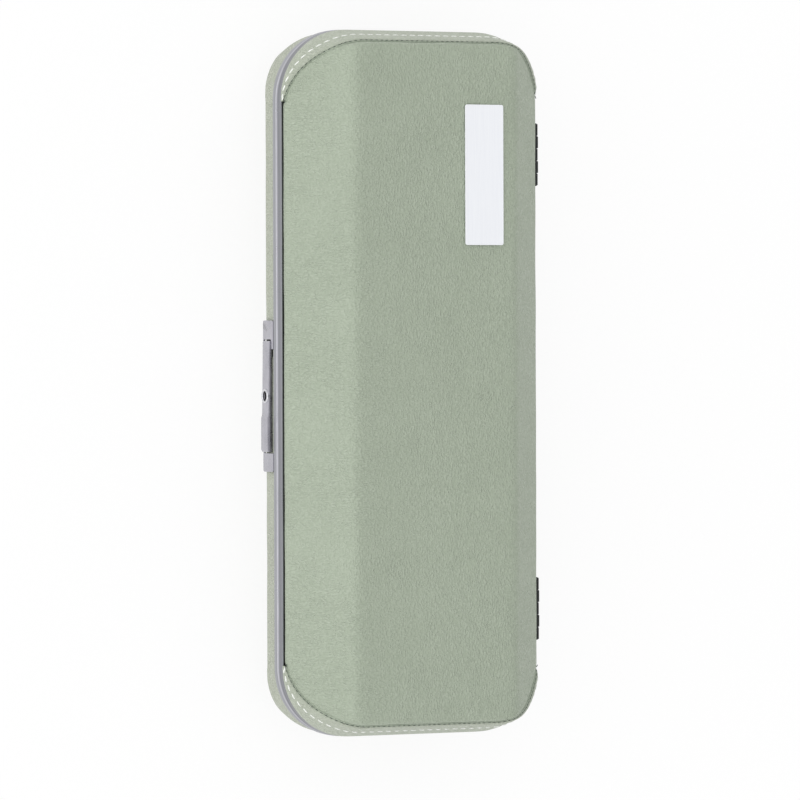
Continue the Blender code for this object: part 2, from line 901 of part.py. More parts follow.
def lever_outline():
    """The lever seen from above, about its pivot: round heel, rising face, finger lip."""
    heel = lever_heel_radius
    inner = lever_inner_y - lever_pivot_y
    end = lever_end_x - lever_pivot_x
    lip = end - lever_lip_length
    face = -heel - lever_rise
    tip = face - lever_lip_rise
    first = math.asin(inner / heel)
    points = []
    for i in range(lever_heel_steps + 1):
        angle = first + (3 * math.pi / 2 - first) * i / lever_heel_steps
        points.append((heel * math.cos(angle), heel * math.sin(angle)))
    points += [
        (lip - lever_lip_slope, face),
        (lip, tip),
        (end - lever_end_round, tip),
        (end, tip + lever_end_round),
        (end, inner - lever_bevel),
        (end - lever_bevel, inner),
    ]
    return points


def make_lever(finish, pivot):
    """Lever with its tail through the wall and the seat of the lock in its face."""
    half_z = lever_height / 2
    place = pivot.location
    lever = add_object("latch_lever", along_z(lever_outline(), -half_z, half_z), finish, pivot, place)
    tail_half = lever_tail_height / 2
    neck_low = (-lever_tail_width / 2, 0, -tail_half)
    neck_high = (lever_tail_width / 2, lever_tail_reach, tail_half)
    unite(lever, helper("lever_neck", box(neck_low, neck_high), pivot, place))
    tip = [(x, lever_tail_reach + y) for x, y in circle(lever_tail_tip, small_steps)]
    unite(lever, helper("lever_tip", along_z(tip, -tail_half, tail_half), pivot, place))
    reach = half_z + overrun
    bore = along_z(circle(lever_pin_radius + lever_pin_play, small_steps), -reach, reach)
    cut(lever, helper("lever_bore", bore, pivot, place))
    lock_x = latch_centre - lever_pivot_x
    barrel = [(lock_x + x, z) for x, z in circle(lock_radius + lock_play, round_steps)]
    outer = -lever_heel_radius - overrun
    cut(lever, helper("lever_lock_bore", along_y(barrel, outer, 0), pivot, place))
    seat = [(lock_x + x, z) for x, z in circle(collar_radius + fit_gap, round_steps)]
    floor = collar_back() + fit_gap - lever_pivot_y
    return cut(lever, helper("lever_collar_seat", along_y(seat, outer, floor), pivot, place))


def lever_face_y():
    """Where the face of the lever lies at the lock."""
    share = (latch_centre - lever_pivot_x) / (lever_length - lever_heel_radius - lever_lip_length)
    return lever_pivot_y - lever_heel_radius - lever_rise * share


def collar_back():
    return lever_face_y() - collar_proud + collar_height


def make_collar(finish, pivot):
    """Ring round the lock, let into the face of the lever."""
    place = (latch_centre, collar_back(), seam_level + latch_middle)
    bevel = collar_height / 4
    profile = [
        (collar_radius, 0),
        (collar_radius, -collar_height + bevel),
        (collar_radius - bevel, -collar_height),
    ]
    ring = add_object("lock_collar", turned_along_y(profile, round_steps), finish, pivot, place)
    reach = collar_height + overrun
    bore = along_y(circle(lock_radius + lock_play, round_steps), -reach, overrun)
    return cut(ring, helper("lock_collar_bore", bore, pivot, place))


def make_lock_cylinder(finish, pivot):
    """Barrel of the lock with its keyway, and the stub that carries the cam."""
    face = lever_face_y() - collar_proud + lock_proud
    shoulder = cam_outer_y - fit_gap - face
    end = cam_inner_y - face
    place = (latch_centre, face, seam_level + latch_middle)
    profile = [
        (lock_radius, 0),
        (lock_radius, shoulder),
        (cam_stub_radius, shoulder),
        (cam_stub_radius, end),
    ]
    barrel = add_object("lock_cylinder", turned_along_y(profile, round_steps), finish, pivot, place)
    low = (-keyway_length / 2, -overrun, -keyway_width / 2)
    high = (keyway_length / 2, keyway_depth, keyway_width / 2)
    return cut(barrel, helper("keyway", box(low, high), pivot, place))


def make_cam(finish, pivot):
    """Bar behind the wall, which lies along the slot when the lock is open."""
    place = (latch_centre, cam_outer_y, seam_level + latch_middle)
    low = (-cam_length / 2, 0, -cam_width / 2)
    high = (cam_length / 2, cam_thickness, cam_width / 2)
    cam = add_object("lock_cam", box(low, high), finish, pivot, place)
    hole = circle(cam_stub_radius + rivet_play, small_steps)
    bore = along_y(hole, -overrun, cam_thickness + overrun)
    return cut(cam, helper("lock_cam_bore", bore, pivot, place))


def make_bolt(finish, pivot):
    """Slide with a notch for the lever's tail, and a hooked stem that rises into the lid."""
    place = pivot.location
    x0, y0 = place.x, place.y
    half_z = bolt_thickness / 2
    low = (bolt_left_x - x0, bolt_outer_y - y0, -half_z)
    high = (bolt_right_x - x0, bolt_inner_y - y0, half_z)
    bolt = add_object("latch_bolt", box(low, high), finish, pivot, place)
    nose_low = keeper_lip_top + bolt_nose_lift - latch_middle
    stem_low = (bolt_stem_x - x0, bolt_outer_y - y0, 0)
    stem_high = (bolt_right_x - x0, bolt_outer_y + bolt_stem_thickness - y0, nose_low + bolt_nose_height)
    unite(bolt, helper("bolt_stem", box(stem_low, stem_high), pivot, place))
    nose_low_corner = (bolt_stem_x - bolt_nose_length - x0, bolt_outer_y - y0, nose_low)
    nose_high_corner = (bolt_stem_x + bolt_nose_height - x0, stem_high[1], stem_high[2])
    unite(bolt, helper("bolt_nose", box(nose_low_corner, nose_high_corner), pivot, place))
    half_notch = lever_tail_tip + fit_gap
    notch_low = (lever_pivot_x - half_notch - x0, bolt_outer_y - overrun - y0, -overrun)
    notch_end = lever_pivot_y + lever_tail_reach + half_notch - y0
    notch_high = (lever_pivot_x + half_notch - x0, notch_end, overrun)
    return cut(bolt, helper("bolt_notch", box(notch_low, notch_high), pivot, place))


# Keeper in the lid


def keeper_rivet_places():
    left = bolt_stem_x - keeper_left + keeper_rivet_margin
    right = bolt_stem_x - keeper_left + keeper_length - keeper_rivet_margin
    return left, right


def make_keeper(finish, parent, place):
    """Angle on the lip of the lid's rail, whose ledge the nose of the bolt holds down."""
    near = front + room_inset
    far = near + keeper_thickness
    left = bolt_stem_x - keeper_left
    low = (left, near, half_seam + fit_gap)
    high = (left + keeper_length, far, keeper_lip_top)
    keeper = add_object("keeper", box(low, high), finish, parent, place)
    ledge_end = bolt_stem_x - fit_gap
    ledge_root = near + keeper_thickness / 2
    ledge_low = (ledge_end - keeper_lip_length, ledge_root, keeper_lip_top - keeper_lip_thickness)
    ledge_high = (ledge_end, far + keeper_lip_depth, keeper_lip_top)
    unite(keeper, helper("keeper_ledge", box(ledge_low, ledge_high), parent, place))
    for number, x in enumerate(keeper_rivet_places(), 1):
        hole = circle(keeper_rivet_radius + rivet_play, small_steps)
        hole = [(x + a, keeper_rivet_level + b) for a, b in hole]
        bore = along_y(hole, near - overrun, far + overrun)
        cut(keeper, helper(f"keeper_hole_{number}", bore, parent, place))
    return keeper


def keeper_holes_in_rail(parent, place):
    """Cutters for the keeper's rivets in the lip of the lid's rail."""
    cutters = []
    for number, x in enumerate(keeper_rivet_places(), 1):
        hole = circle(keeper_rivet_radius + rivet_play, small_steps)
        hole = [(x + a, keeper_rivet_level + b) for a, b in hole]
        start = front + shell_inner_inset
        bore = along_y(hole, start, front + room_inset + overrun)
        cutters.append(helper(f"lid_rail_keeper_hole_{number}", bore, parent, place))
    return cutters


def make_keeper_rivet(number, x, finish, parent):
    """Small rivet from the keeper into the lip of the lid's rail."""
    tail = front + lip_inset + keeper_rivet_seat
    seat = front + room_inset + keeper_thickness + keeper_rivet_seat
    profile = [
        (keeper_rivet_radius, 0),
        (keeper_rivet_radius, seat - tail),
        (rivet_head_radius, seat - tail),
        (rivet_head_radius, seat - tail + rivet_head_height / 2),
        (keeper_rivet_radius, seat - tail + rivet_head_height),
    ]
    place = (x, tail, seam_level + keeper_rivet_level)
    return add_object(f"keeper_rivet_{number}", turned_along_y(profile, small_steps), finish, parent, place)


# Cradle


def trough(name, centre_y, width, length, depth, place):
    """Cutter for a joint's well: straight sides over a round floor."""
    radius = width / 2
    floor_centre = -(deck_drop + depth - radius)
    outline = [(centre_y - radius, overrun)]
    for i in range(trough_steps + 1):
        angle = math.pi * (1 + i / trough_steps)
        outline.append((centre_y + radius * math.cos(angle), floor_centre + radius * math.sin(angle)))
    outline.append((centre_y + radius, overrun))
    return helper(name, along_x(outline, -length / 2, length / 2), None, place)


def make_cradle(finish, place):
    """Foam cradle with a well for each joint, the bell and the reeds and tools."""
    reach = case_length
    block = roof_block(base, lip_inset, deck_drop, -reach, reach)
    cradle = add_object("cradle", block, finish, None, place)
    inside = wall_block(base, room_inset, deck_drop - overrun)
    keep(cradle, helper("cradle_walls", inside, None, place))
    side_room = cover_half_width - room_inset
    for side, sign in (("front", -1), ("back", 1)):
        ends = sorted((sign * side_room, sign * case_width))
        low = (-reach, ends[0], -base_depth)
        high = (reach, ends[1], overrun)
        cut(cradle, helper("cradle_trim_" + side, box(low, high), None, place))
    wall = centre_well_width / 2 + well_margin
    back_y = wall + lower_joint_width / 2
    front_y = -(wall + upper_joint_width / 2)
    wells = [
        trough("lower_joint_well", back_y, lower_joint_width, lower_joint_length, joint_well_depth, place),
        trough("upper_joint_well", front_y, upper_joint_width, upper_joint_length, joint_well_depth, place),
    ]
    half_y = centre_well_width / 2
    half_bridge = well_bridge / 2
    low = (-half_bridge - bell_well_length, -half_y, -deck_drop - bell_well_depth)
    high = (-half_bridge, half_y, overrun)
    wells.append(helper("bell_well", box(low, high), None, place))
    low = (half_bridge, -half_y, -deck_drop - tool_well_depth)
    high = (half_bridge + tool_well_length, half_y, overrun)
    wells.append(helper("tool_well", box(low, high), None, place))
    low = (latch_centre - latch_pocket_half, -case_width, -latch_pocket_drop)
    high = (latch_centre + latch_pocket_half, -side_room + latch_pocket_depth, overrun)
    wells.append(helper("latch_pocket", box(low, high), None, place))
    return cut(cradle, *wells)


# Name plate


def make_name_plate(finish, parent):
    """Thin bare plate glued to the crown of the lid."""
    outline = rounded_outline(
        name_plate_length / 2, name_plate_width / 2, name_plate_corner, plate_corner_steps
    )
    plate = along_z(outline, 0, name_plate_thickness)
    plate_x = name_plate_setback + name_plate_length / 2 - case_length / 2
    place = (plate_x, name_plate_y, seam_level + lid_depth + name_plate_seat)
    return add_object("name_plate", plate, finish, parent, place)


# Assembly


def build_base():
    place = (0, 0, seam_level)
    leather = leatherette()
    metal = satin_steel()
    black = black_steel()
    shell = make_shell(base, None, place)
    cut(shell, *opening_cutters("base_shell", place))
    panel = make_cover_panel(base, leather, None, place)
    cut(panel, *opening_cutters("base_cover", place))
    make_cover_end(base, "left", -1, leather, None, place)
    make_cover_end(base, "right", 1, leather, None, place)
    make_rail(base, base_lip_depth, None, place)
    make_seal(seal_rubber(), place)
    make_cradle(plush(), place)
    make_hinges(base, (0, 2, 4), base_knuckle_radius, black, None, place)
    make_hinge_pin("left", -hinge_offset, black)
    make_hinge_pin("right", hinge_offset, black)
    make_latch_plate(metal, place)
    make_latch_nut("left", -1, metal)
    make_latch_nut("right", 1, metal)
    make_lever_pin(metal)
    make_bracket(metal, place)
    make_spring(spring_steel())


def build_lid():
    place = (0, 0, seam_level)
    pivot = add_pivot("lid_pivot", (0, hinge_axis_y, seam_level))
    leather = leatherette()
    metal = satin_steel()
    make_shell(lid, pivot, place)
    make_cover_panel(lid, leather, pivot, place)
    make_cover_end(lid, "left", -1, leather, pivot, place)
    make_cover_end(lid, "right", 1, leather, pivot, place)
    rail = make_rail(lid, lid_lip_depth, pivot, place)
    cut(rail, *keeper_holes_in_rail(pivot, place))
    make_lining(pivot, place)
    make_hinges(lid, (1, 3), lid_knuckle_radius, black_steel(), pivot, place)
    make_keeper(metal, pivot, place)
    for number, x in enumerate(keeper_rivet_places(), 1):
        make_keeper_rivet(number, x, metal, pivot)
    make_name_plate(plate_enamel(), pivot)


def build_latch():
    metal = satin_steel()
    level = seam_level + latch_middle
    lever_pivot = add_pivot("lever_pivot", (lever_pivot_x, lever_pivot_y, level))
    make_lever(metal, lever_pivot)
    make_collar(metal, lever_pivot)
    lock_pivot = add_pivot("lock_pivot", (latch_centre, lever_pivot_y, level))
    make_lock_cylinder(metal, lock_pivot)
    make_cam(metal, lock_pivot)
    bolt_pivot = add_pivot("bolt_pivot", (bolt_stem_x, bolt_outer_y, level))
    make_bolt(metal, bolt_pivot)


clear_scene()
build_base()
build_lid()
build_latch()
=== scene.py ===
"""Oboe case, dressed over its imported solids, on a pale studio floor."""

import json
import math

import bmesh
import bpy
from mathutils import Matrix, Vector, noise
from mathutils.bvhtree import BVHTree

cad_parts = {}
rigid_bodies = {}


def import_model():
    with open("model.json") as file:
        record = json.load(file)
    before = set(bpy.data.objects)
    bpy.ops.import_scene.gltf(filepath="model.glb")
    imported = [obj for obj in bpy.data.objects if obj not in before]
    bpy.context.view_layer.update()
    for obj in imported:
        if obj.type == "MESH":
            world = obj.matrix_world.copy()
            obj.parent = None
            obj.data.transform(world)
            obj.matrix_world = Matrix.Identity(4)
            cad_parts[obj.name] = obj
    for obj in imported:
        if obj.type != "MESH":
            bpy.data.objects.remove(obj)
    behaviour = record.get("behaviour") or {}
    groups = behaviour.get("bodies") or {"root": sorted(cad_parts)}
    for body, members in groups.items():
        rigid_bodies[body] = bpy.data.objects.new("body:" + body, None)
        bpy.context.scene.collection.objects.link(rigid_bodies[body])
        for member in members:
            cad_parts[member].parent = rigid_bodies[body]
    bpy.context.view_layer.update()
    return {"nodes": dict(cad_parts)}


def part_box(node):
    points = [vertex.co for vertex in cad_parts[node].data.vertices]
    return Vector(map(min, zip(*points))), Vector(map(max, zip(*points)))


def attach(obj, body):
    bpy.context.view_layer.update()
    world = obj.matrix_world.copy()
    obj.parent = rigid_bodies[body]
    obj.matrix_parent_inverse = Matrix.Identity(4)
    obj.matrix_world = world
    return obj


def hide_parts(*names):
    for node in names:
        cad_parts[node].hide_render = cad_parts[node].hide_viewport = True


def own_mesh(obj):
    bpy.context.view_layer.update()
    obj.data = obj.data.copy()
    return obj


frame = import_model()


# Hard shells of lid and base
# Two tubs moulded from black ABS. The covering and the lining hide them but for an edge in the rails,
# and their mould left a fine even texture.


def linear(hex_colour):
    """An sRGB hex colour as the linear values that a shader takes."""
    channels = [int(hex_colour[i : i + 2], 16) / 255 for i in (1, 3, 5)]
    return [c / 12.92 if c <= 0.04045 else ((c + 0.055) / 1.055) ** 2.4 for c in channels] + [1.0]


def new_material(name):
    """An empty material, named for what the piece is made of, and the place that its patterns follow."""
    material = bpy.data.materials.new(name)
    material.use_nodes = True
    material.node_tree.nodes.clear()
    return material, add_node(material, "TexCoord").outputs["Object"]


def add_node(material, kind, inputs=None, **settings):
    """Add a node with its settings. An input takes a value, an output, or a node for its first output."""
    node = material.node_tree.nodes.new("ShaderNode" + kind)
    for name, value in settings.items():
        setattr(node, name, value)
    for socket, value in (inputs or {}).items():
        if isinstance(value, bpy.types.Node):
            value = value.outputs[0]
        if isinstance(value, bpy.types.NodeSocket):
            material.node_tree.links.new(value, node.inputs[socket])
        else:
            node.inputs[socket].default_value = value
    return node


def between(material, pattern, low, high, start=0.3, end=0.7):
    """What runs from one colour or value to another over a stretch of a pattern's height."""
    if not isinstance(low, str):
        stretch = {"Value": pattern, "From Min": start, "From Max": end, "To Min": low, "To Max": high}
        return add_node(material, "MapRange", stretch)
    ramp = add_node(material, "ValToRGB", {"Fac": pattern})
    for element, place, colour in zip(ramp.color_ramp.elements, (start, end), (low, high)):
        element.position = place
        element.color = linear(colour)
    return ramp


def close_material(material, relief=None, **inputs):
    """End a material in one Principled surface. Its relief is a pattern, a depth in metres and a strength."""
    named = {name.replace("_", " "): value for name, value in inputs.items()}
    if relief:
        bump = dict(zip(("Height", "Distance", "Strength"), relief))
        named["Normal"] = add_node(material, "Bump", bump)
    add_node(material, "OutputMaterial", {"Surface": add_node(material, "BsdfPrincipled", named)})
    return material


def moulded_abs():
    """Black ABS from a spark-eroded mould: a matt skin whose grain of 0.4 mm breaks up the highlight."""
    material, place = new_material("moulded_abs")
    grain = add_node(material, "TexNoise", {"Vector": place, "Scale": 2500, "Detail": 3})
    return close_material(
        material,
        Base_Color=between(material, grain, "#1A1D1B", "#262A27"),
        Roughness=between(material, grain, 0.5, 0.62),
        IOR=1.53,
        relief=(grain, 0.0001, 0.5),
    )


def dress_node(material, *names):
    """Give solids of the frame, whose shape is right as it is, their finish."""
    for name in names:
        for slot in frame["nodes"][name].material_slots:
            slot.material = material


dress_node(moulded_abs(), "base_shell", "lid_shell")


# Leatherette covers of lid and base
# One sheet of sage polyurethane leather is glued over the crown and long sides of each half. A band of
# the same stuff is sewn to it round each end, stands a little proud of it and tapers off on the sides.
# The bands and the base's sheet are given lighter, greyer tones than the lid's sheet: painted light.

seam_level = 0.037
case_half_length = 0.160
case_half_width = 0.065
case_corner = 0.032
cover_setback = 0.001
end_draft = 0.0058
sheet_thickness = 0.0007
tail_start = 0.1225
tail_taper = 0.0045
seam_half_length = 0.1541
seam_sides = (-0.0641, 0.0657)
seam_corners = (0.0306, 0.0340)
seam_dip = (0.0004, 0.0030)
seam_roll = (0.0006, 0.0011)
panel_turn_in = (0.0005, 0.0016)
band_turn_in = (0.0002, 0.0012)
edge_play = 0.0002
seam_shade_reach = 0.0006
leather_voxel = 0.0011
leather_wave = (0.00016, 45)
merge_reach = 0.00015
cut_tolerance = 3e-5
tolerance = 1e-5
lid_form = {
    "name": "lid",
    "up": 1,
    "depth": 0.0315,
    "wall": 0.0068,
    "crown": 0.0814,
    "wall_ridge": 0.0030,
    "crown_ridge": 0.0065,
    "band_rise": 0.0009,
    "rim": 0.0046,
    "sewn_above": 0.0058,
    "seam_fade": 0.0005,
    "tones": ("#A4AE9C", "#A8B2A0"),
    # Lighter than the lid's sheet: painted light on the ends, the same leather.
    "band_tones": ("#AFB5A6", "#B4BAAB"),
}
base_form = {
    "name": "base",
    "up": -1,
    "depth": 0.0370,
    "wall": 0.0145,
    "crown": 0.0820,
    "wall_ridge": 0.0055,
    "crown_ridge": 0.0060,
    "band_rise": 0.0001,
    "rim": 0.0038,
    "sewn_above": 0.0165,
    "seam_fade": 0.0070,
    # Lighter and greyer than the lid's: painted light and sheen on the base's sides, the same leather.
    "tones": ("#ADB1A3", "#B2B6A8"),
    "band_tones": ("#ADB1A3", "#B2B6A8"),
}


def sage_leather(dark, light):
    """Embossed polyurethane leather: pebbles and long fine creases, soft sheen, slightly uneven dye. Painted
    shade darkens the grain's hollows and the leather along the seam's fold.

    The creases run across the facets and along the crown, as the sheet was stretched. The real
    pebbles are about 0.6 mm. They are drawn twice as coarse so that they show.
    """
    material, place = new_material("sage_leather")
    warp = add_node(material, "TexNoise", {"Vector": place, "Scale": 170, "Detail": 2}).outputs["Color"]
    drift = {0: warp, 1: (0.0022, 0.0022, 0.0022), 2: place}
    moved = add_node(material, "VectorMath", drift, operation="MULTIPLY_ADD")
    cells = {"Vector": moved, "Scale": 880, "Smoothness": 0.4}
    pebbles = add_node(material, "TexVoronoi", cells, feature="SMOOTH_F1")
    creases = []
    for stretch in ((960, 330, 500), (320, 960, 500)):
        stretched = add_node(material, "Mapping", {"Vector": moved, "Scale": stretch})
        edge = add_node(material, "TexVoronoi", {"Vector": stretched, "Scale": 1}, feature="DISTANCE_TO_EDGE")
        creases.append(between(material, edge, 1.0, 0.0, 0.0, 0.30))
    height = add_node(material, "SeparateXYZ", {"Vector": place}).outputs["Y"]
    sway = add_node(material, "TexNoise", {"Vector": place, "Scale": 22, "Detail": 2})
    lean = add_node(material, "Math", {0: sway, 1: 0.12, 2: height}, operation="MULTIPLY_ADD")
    turn = between(material, lean, 0, 1, 0.005, 0.045)
    folds = add_node(material, "Mix", {0: turn, 2: creases[0], 3: creases[1]})
    rise = {0: folds, 1: 0.5, 2: pebbles}
    grain = add_node(material, "Math", rise, operation="MULTIPLY_ADD")
    dye = add_node(material, "TexNoise", {"Vector": place, "Scale": 40, "Detail": 4, "Roughness": 0.55})
    shade = between(material, dye, dark, light)
    # Painted shade: the grain's hollows, its creases and the gaps between pebbles, are darkened towards
    # #8C9883.
    pits = between(material, grain, 0.0, 0.30, 0.45, 1.0)
    hollows_shaded = add_node(material, "Mix", {0: pits, 6: shade, 7: linear("#8C9883")}, data_type="RGBA").outputs[2]
    # Painted shade: the leather darkens towards #86917F along the seam's fold, as far as the fold attribute
    # reaches.
    fold = add_node(material, "Attribute", attribute_name="fold").outputs["Fac"]
    seam_shaded = add_node(material, "Mix", {0: fold, 6: hollows_shaded, 7: linear("#86917F")}, data_type="RGBA").outputs[2]
    inverted = add_node(material, "Math", {0: 2.0, 1: grain}, operation="SUBTRACT")
    return close_material(
        material,
        Base_Color=seam_shaded,
        Roughness=between(material, grain, 0.44, 0.62, 0.4, 1.0),
        IOR=1.5,
        relief=(inverted, 0.00055, 0.8),
        Sheen_Weight=0.08,
        Sheen_Roughness=0.5,
    )


def select_only(*objects):
    """Leave edit mode with nothing selected but these objects, the last one active."""
    if bpy.context.mode != "OBJECT":
        bpy.ops.object.mode_set(mode="OBJECT")
    bpy.ops.object.select_all(action="DESELECT")
    for item in objects:
        item.select_set(True)
        bpy.context.view_layer.objects.active = item


def start_edit(piece, kind, action="DESELECT"):
    """Enter edit mode on one piece, with nothing or all of it selected."""
    select_only(piece)
    bpy.ops.object.mode_set(mode="EDIT")
    bpy.ops.mesh.select_mode(type=kind)
    bpy.ops.mesh.select_all(action=action)


def end_edit():
    bpy.ops.object.mode_set(mode="OBJECT")


def pick(kind, test):
    """Select the verts, edges or faces of the edited mesh that pass a test."""
    bpy.ops.mesh.select_mode(type=kind[:-1].upper())
    bpy.ops.mesh.select_all(action="DESELECT")
    mesh = bmesh.from_edit_mesh(bpy.context.edit_object.data)
    mesh.normal_update()
    for element in getattr(mesh, kind):
        element.select_set(test(element))
    mesh.select_flush_mode()
    bmesh.update_edit_mesh(bpy.context.edit_object.data)


def round_edges(radius, segments):
    """Round the selected edges of the edited mesh."""
    bpy.ops.mesh.bevel(offset=radius, segments=segments, affect="EDGES", clamp_overlap=False)


def middle(edge):
    return (edge.verts[0].co + edge.verts[1].co) / 2


def span(edge):
    return edge.verts[1].co - edge.verts[0].co


def add_block(name, low, high):
    """A block between two corners, to be shaped further."""
    low, high = Vector(low), Vector(high)
    bpy.ops.mesh.primitive_cube_add(size=1, location=(low + high) / 2, scale=high - low)
    bpy.ops.object.transform_apply(location=True, rotation=True, scale=True)
    block = bpy.context.object
    block.name = name
    return block


def rounded_prism(name, half_length, sides, radii, low, high):
    """An upright block whose corners in plan are round, with one radius in front and one at the back."""
    block = add_block(name, (-half_length, sides[0], low), (half_length, sides[1], high))
    start_edit(block, "EDGE")
    for side, radius in zip(sides, radii):
        pick("edges", lambda edge: abs(span(edge).z) > tolerance and abs(middle(edge).y - side) < tolerance)
        round_edges(radius, 20)
    end_edit()
    return block


def off_seam(spot):
    """How far a place lies outside the seam in plan, less than zero inside it."""
    back = spot.y > 0
    radius = seam_corners[back]
    x = abs(spot.x) - seam_half_length + radius
    y = abs(spot.y) - abs(seam_sides[back]) + radius
    return math.hypot(max(x, 0), max(y, 0)) + min(max(x, y), 0) - radius


def apply_modifier(piece, kind, **settings):
    """Add a modifier to a piece and apply it at once."""
    select_only(piece)
    modifier = piece.modifiers.new(kind, kind)
    for name, value in settings.items():
        setattr(modifier, name, value)
    bpy.ops.object.modifier_apply(modifier=modifier.name)


def carve(piece, tool, operation="DIFFERENCE", solver="EXACT"):
    """Cut or keep a piece with a tool, and throw the tool away."""
    apply_modifier(piece, "BOOLEAN", object=tool, operation=operation, solver=solver)
    bpy.data.objects.remove(tool, do_unlink=True)


def copy_of(piece, name):
    """A copy with a mesh of its own."""
    made = piece.copy()
    made.data = piece.data.copy()
    made.name = name
    made.parent = None
    bpy.context.scene.collection.objects.link(made)
    return made


def finish_piece(piece, material, body, angle=40, replaces=()):
    """Smooth a piece, give it its material and say what carries it and what it stands for."""
    select_only(piece)
    bpy.ops.object.shade_smooth_by_angle(angle=math.radians(angle))
    piece.data.materials.clear()
    piece.data.materials.append(material)
    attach(piece, body)
    if replaces:
        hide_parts(*replaces)
    return piece


def roof_block(form):
    """A long block with the crown, the two facets and the low side walls of a half."""
    half_width = case_half_width - cover_setback
    reach = case_half_length * 1.1
    block = add_block("roof", (-reach, -half_width, -form["depth"]), (reach, half_width, form["wall"]))
    start_edit(block, "FACE")
    pick("faces", lambda face: face.normal.z > 0.9)
    rise = form["depth"] - form["wall"]
    bpy.ops.mesh.extrude_region_move(TRANSFORM_OT_translate={"value": (0, 0, rise)})
    narrowing = form["crown"] / 2 / half_width
    bpy.ops.transform.resize(value=(1, narrowing, 1), center_override=(0, 0, form["depth"]))
    slope = math.atan2(rise, half_width - form["crown"] / 2)
    for level, radius, turn in (
        (form["depth"], form["crown_ridge"], slope),
        (form["wall"], form["wall_ridge"], math.pi / 2 - slope),
    ):
        pick("edges", lambda edge: abs(middle(edge).z - level) < tolerance and abs(span(edge).y) < tolerance)
        round_edges(radius * math.tan(turn / 2), 5)
    end_edit()
    return block


def outer_form(form):
    """The outside of one half, mouth down, in an even mesh with every ridge softened."""
    half_length = case_half_length - cover_setback
    half_width = case_half_width - cover_setback
    low = -form["depth"] / 2
    radius = case_corner - cover_setback
    sides = (-half_width, half_width)
    plan = rounded_prism("plan", half_length, sides, (radius, radius), low, form["wall"])
    start_edit(plan, "FACE")
    pick("faces", lambda face: face.normal.z > 0.9)
    rise = form["depth"] - form["wall"]
    past = 1.2
    bpy.ops.mesh.inset(thickness=end_draft * past, depth=rise * past, use_even_offset=True)
    end_edit()
    block = roof_block(form)
    carve(block, plan, "INTERSECT")
    apply_modifier(block, "REMESH", mode="VOXEL", voxel_size=leather_voxel)
    start_edit(block, "VERT", "SELECT")
    bpy.ops.mesh.vertices_smooth(factor=0.5, repeat=6)
    end_edit()
    return block


def push_out(piece, distance):
    """Move every point of a piece along its normal, by a distance that depends on its place."""
    moves = [vertex.normal * distance(vertex.co) for vertex in piece.data.vertices]
    for vertex, move in zip(piece.data.vertices, moves):
        vertex.co += move


def undulate(piece, height, scale):
    """Let a glued sheet lie a little unevenly, as over padding."""
    push_out(piece, lambda place: (noise.noise(place * scale) - 0.5) * height)


def open_at_mouth(piece, rim, cut_face):
    """Trim a half's form to its rim and take away every face that isn't outside."""
    start_edit(piece, "FACE", "SELECT")
    bpy.ops.mesh.bisect(plane_co=(0, 0, rim), plane_no=(0, 0, 1), clear_inner=True)
    pick("faces", lambda face: face.normal.z < -0.3 or cut_face(face))
    bpy.ops.mesh.delete(type="FACE")
    bpy.ops.mesh.select_all(action="SELECT")
    bpy.ops.mesh.remove_doubles(threshold=merge_reach)


def seam_cut(face):
    """Whether a face was left by the cut along the seam, and isn't the outside of a long side."""
    spot = face.calc_center_median()
    on_side = abs(spot.y) > case_half_width - cover_setback - cut_tolerance
    return abs(off_seam(spot)) < cut_tolerance and abs(face.normal.z) < 0.3 and not on_side


def push_in(test, depth, reach):
    """Push part of a sheet's edge in along its normals, and what lies within reach with it."""
    pick("verts", lambda vert: vert.is_boundary and test(vert.co))
    bpy.ops.transform.shrink_fatten(
        value=-depth,
        use_proportional_edit=True,
        proportional_edit_falloff="SMOOTH",
        proportional_size=reach,
        use_proportional_connected=True,
    )


def at_seam(form, reach):
    """A test for the part of a sheet's edge that is turned in along the seam."""
    return lambda spot: abs(off_seam(spot)) < reach and spot.z > form["sewn_above"]


def at_mouth(form):
    """A test for the edge that is turned in beside the rail."""
    return lambda spot: spot.z < form["rim"] + edge_play


def set_up(piece, form):
    """Turn a piece of a half right way up and lift it to its place."""
    start_edit(piece, "VERT", "SELECT")
    bpy.ops.transform.resize(value=(1, 1, form["up"]), center_override=(0, 0, 0))
    bpy.ops.transform.translate(value=(0, 0, seam_level))
    bpy.ops.mesh.normals_make_consistent(inside=False)
    end_edit()


def smooth_share(run, length):
    """A smooth rise from 0 to 1 over a length."""
    share = max(0, min(1, run / length))
    return share * share * (3 - 2 * share)


def seam_share(form, depth):
    """How far the seam has opened at a depth below the mouth. The base's fades out on its sides."""
    return smooth_share(depth - form["sewn_above"], form["seam_fade"])


def mark_seam_shade(piece, form):
    """Keep how near each point lies to the seam, for the painted shade that darkens the leather in the seam's
    fold.
    """
    fold = piece.data.attributes.new("fold", "FLOAT", "POINT")
    places = [vertex.co for vertex in piece.data.vertices]
    depths = [max(0, 1 - abs(off_seam(place)) / seam_shade_reach) * seam_share(form, place.z) for place in places]
    fold.data.foreach_set("value", depths)


def corners(piece):
    """The lowest and highest corner of a piece."""
    places = [vertex.co for vertex in piece.data.vertices]
    return [[pick_end(place[axis] for place in places) for axis in range(3)] for pick_end in (min, max)]


def cut_at_seam(form, name, operation):
    """A copy of a half's form, on one side of the seam."""
    sheet = copy_of(form["block"], name)
    deep = form["depth"] * 2
    seam = rounded_prism("seam", seam_half_length, seam_sides, seam_corners, -deep, deep)
    carve(sheet, seam, operation, "MANIFOLD")
    return sheet


def lay_sheet(sheet, form, leather, replaced):
    """Give a cut sheet its thickness, set it up and say what it is."""
    apply_modifier(sheet, "SOLIDIFY", thickness=sheet_thickness, offset=-1)
    mark_seam_shade(sheet, form)
    set_up(sheet, form)
    finish_piece(sheet, leather, form["name"], 50, [replaced])
    size = [high - low for low, high in zip(*corners(sheet))]
    return sheet


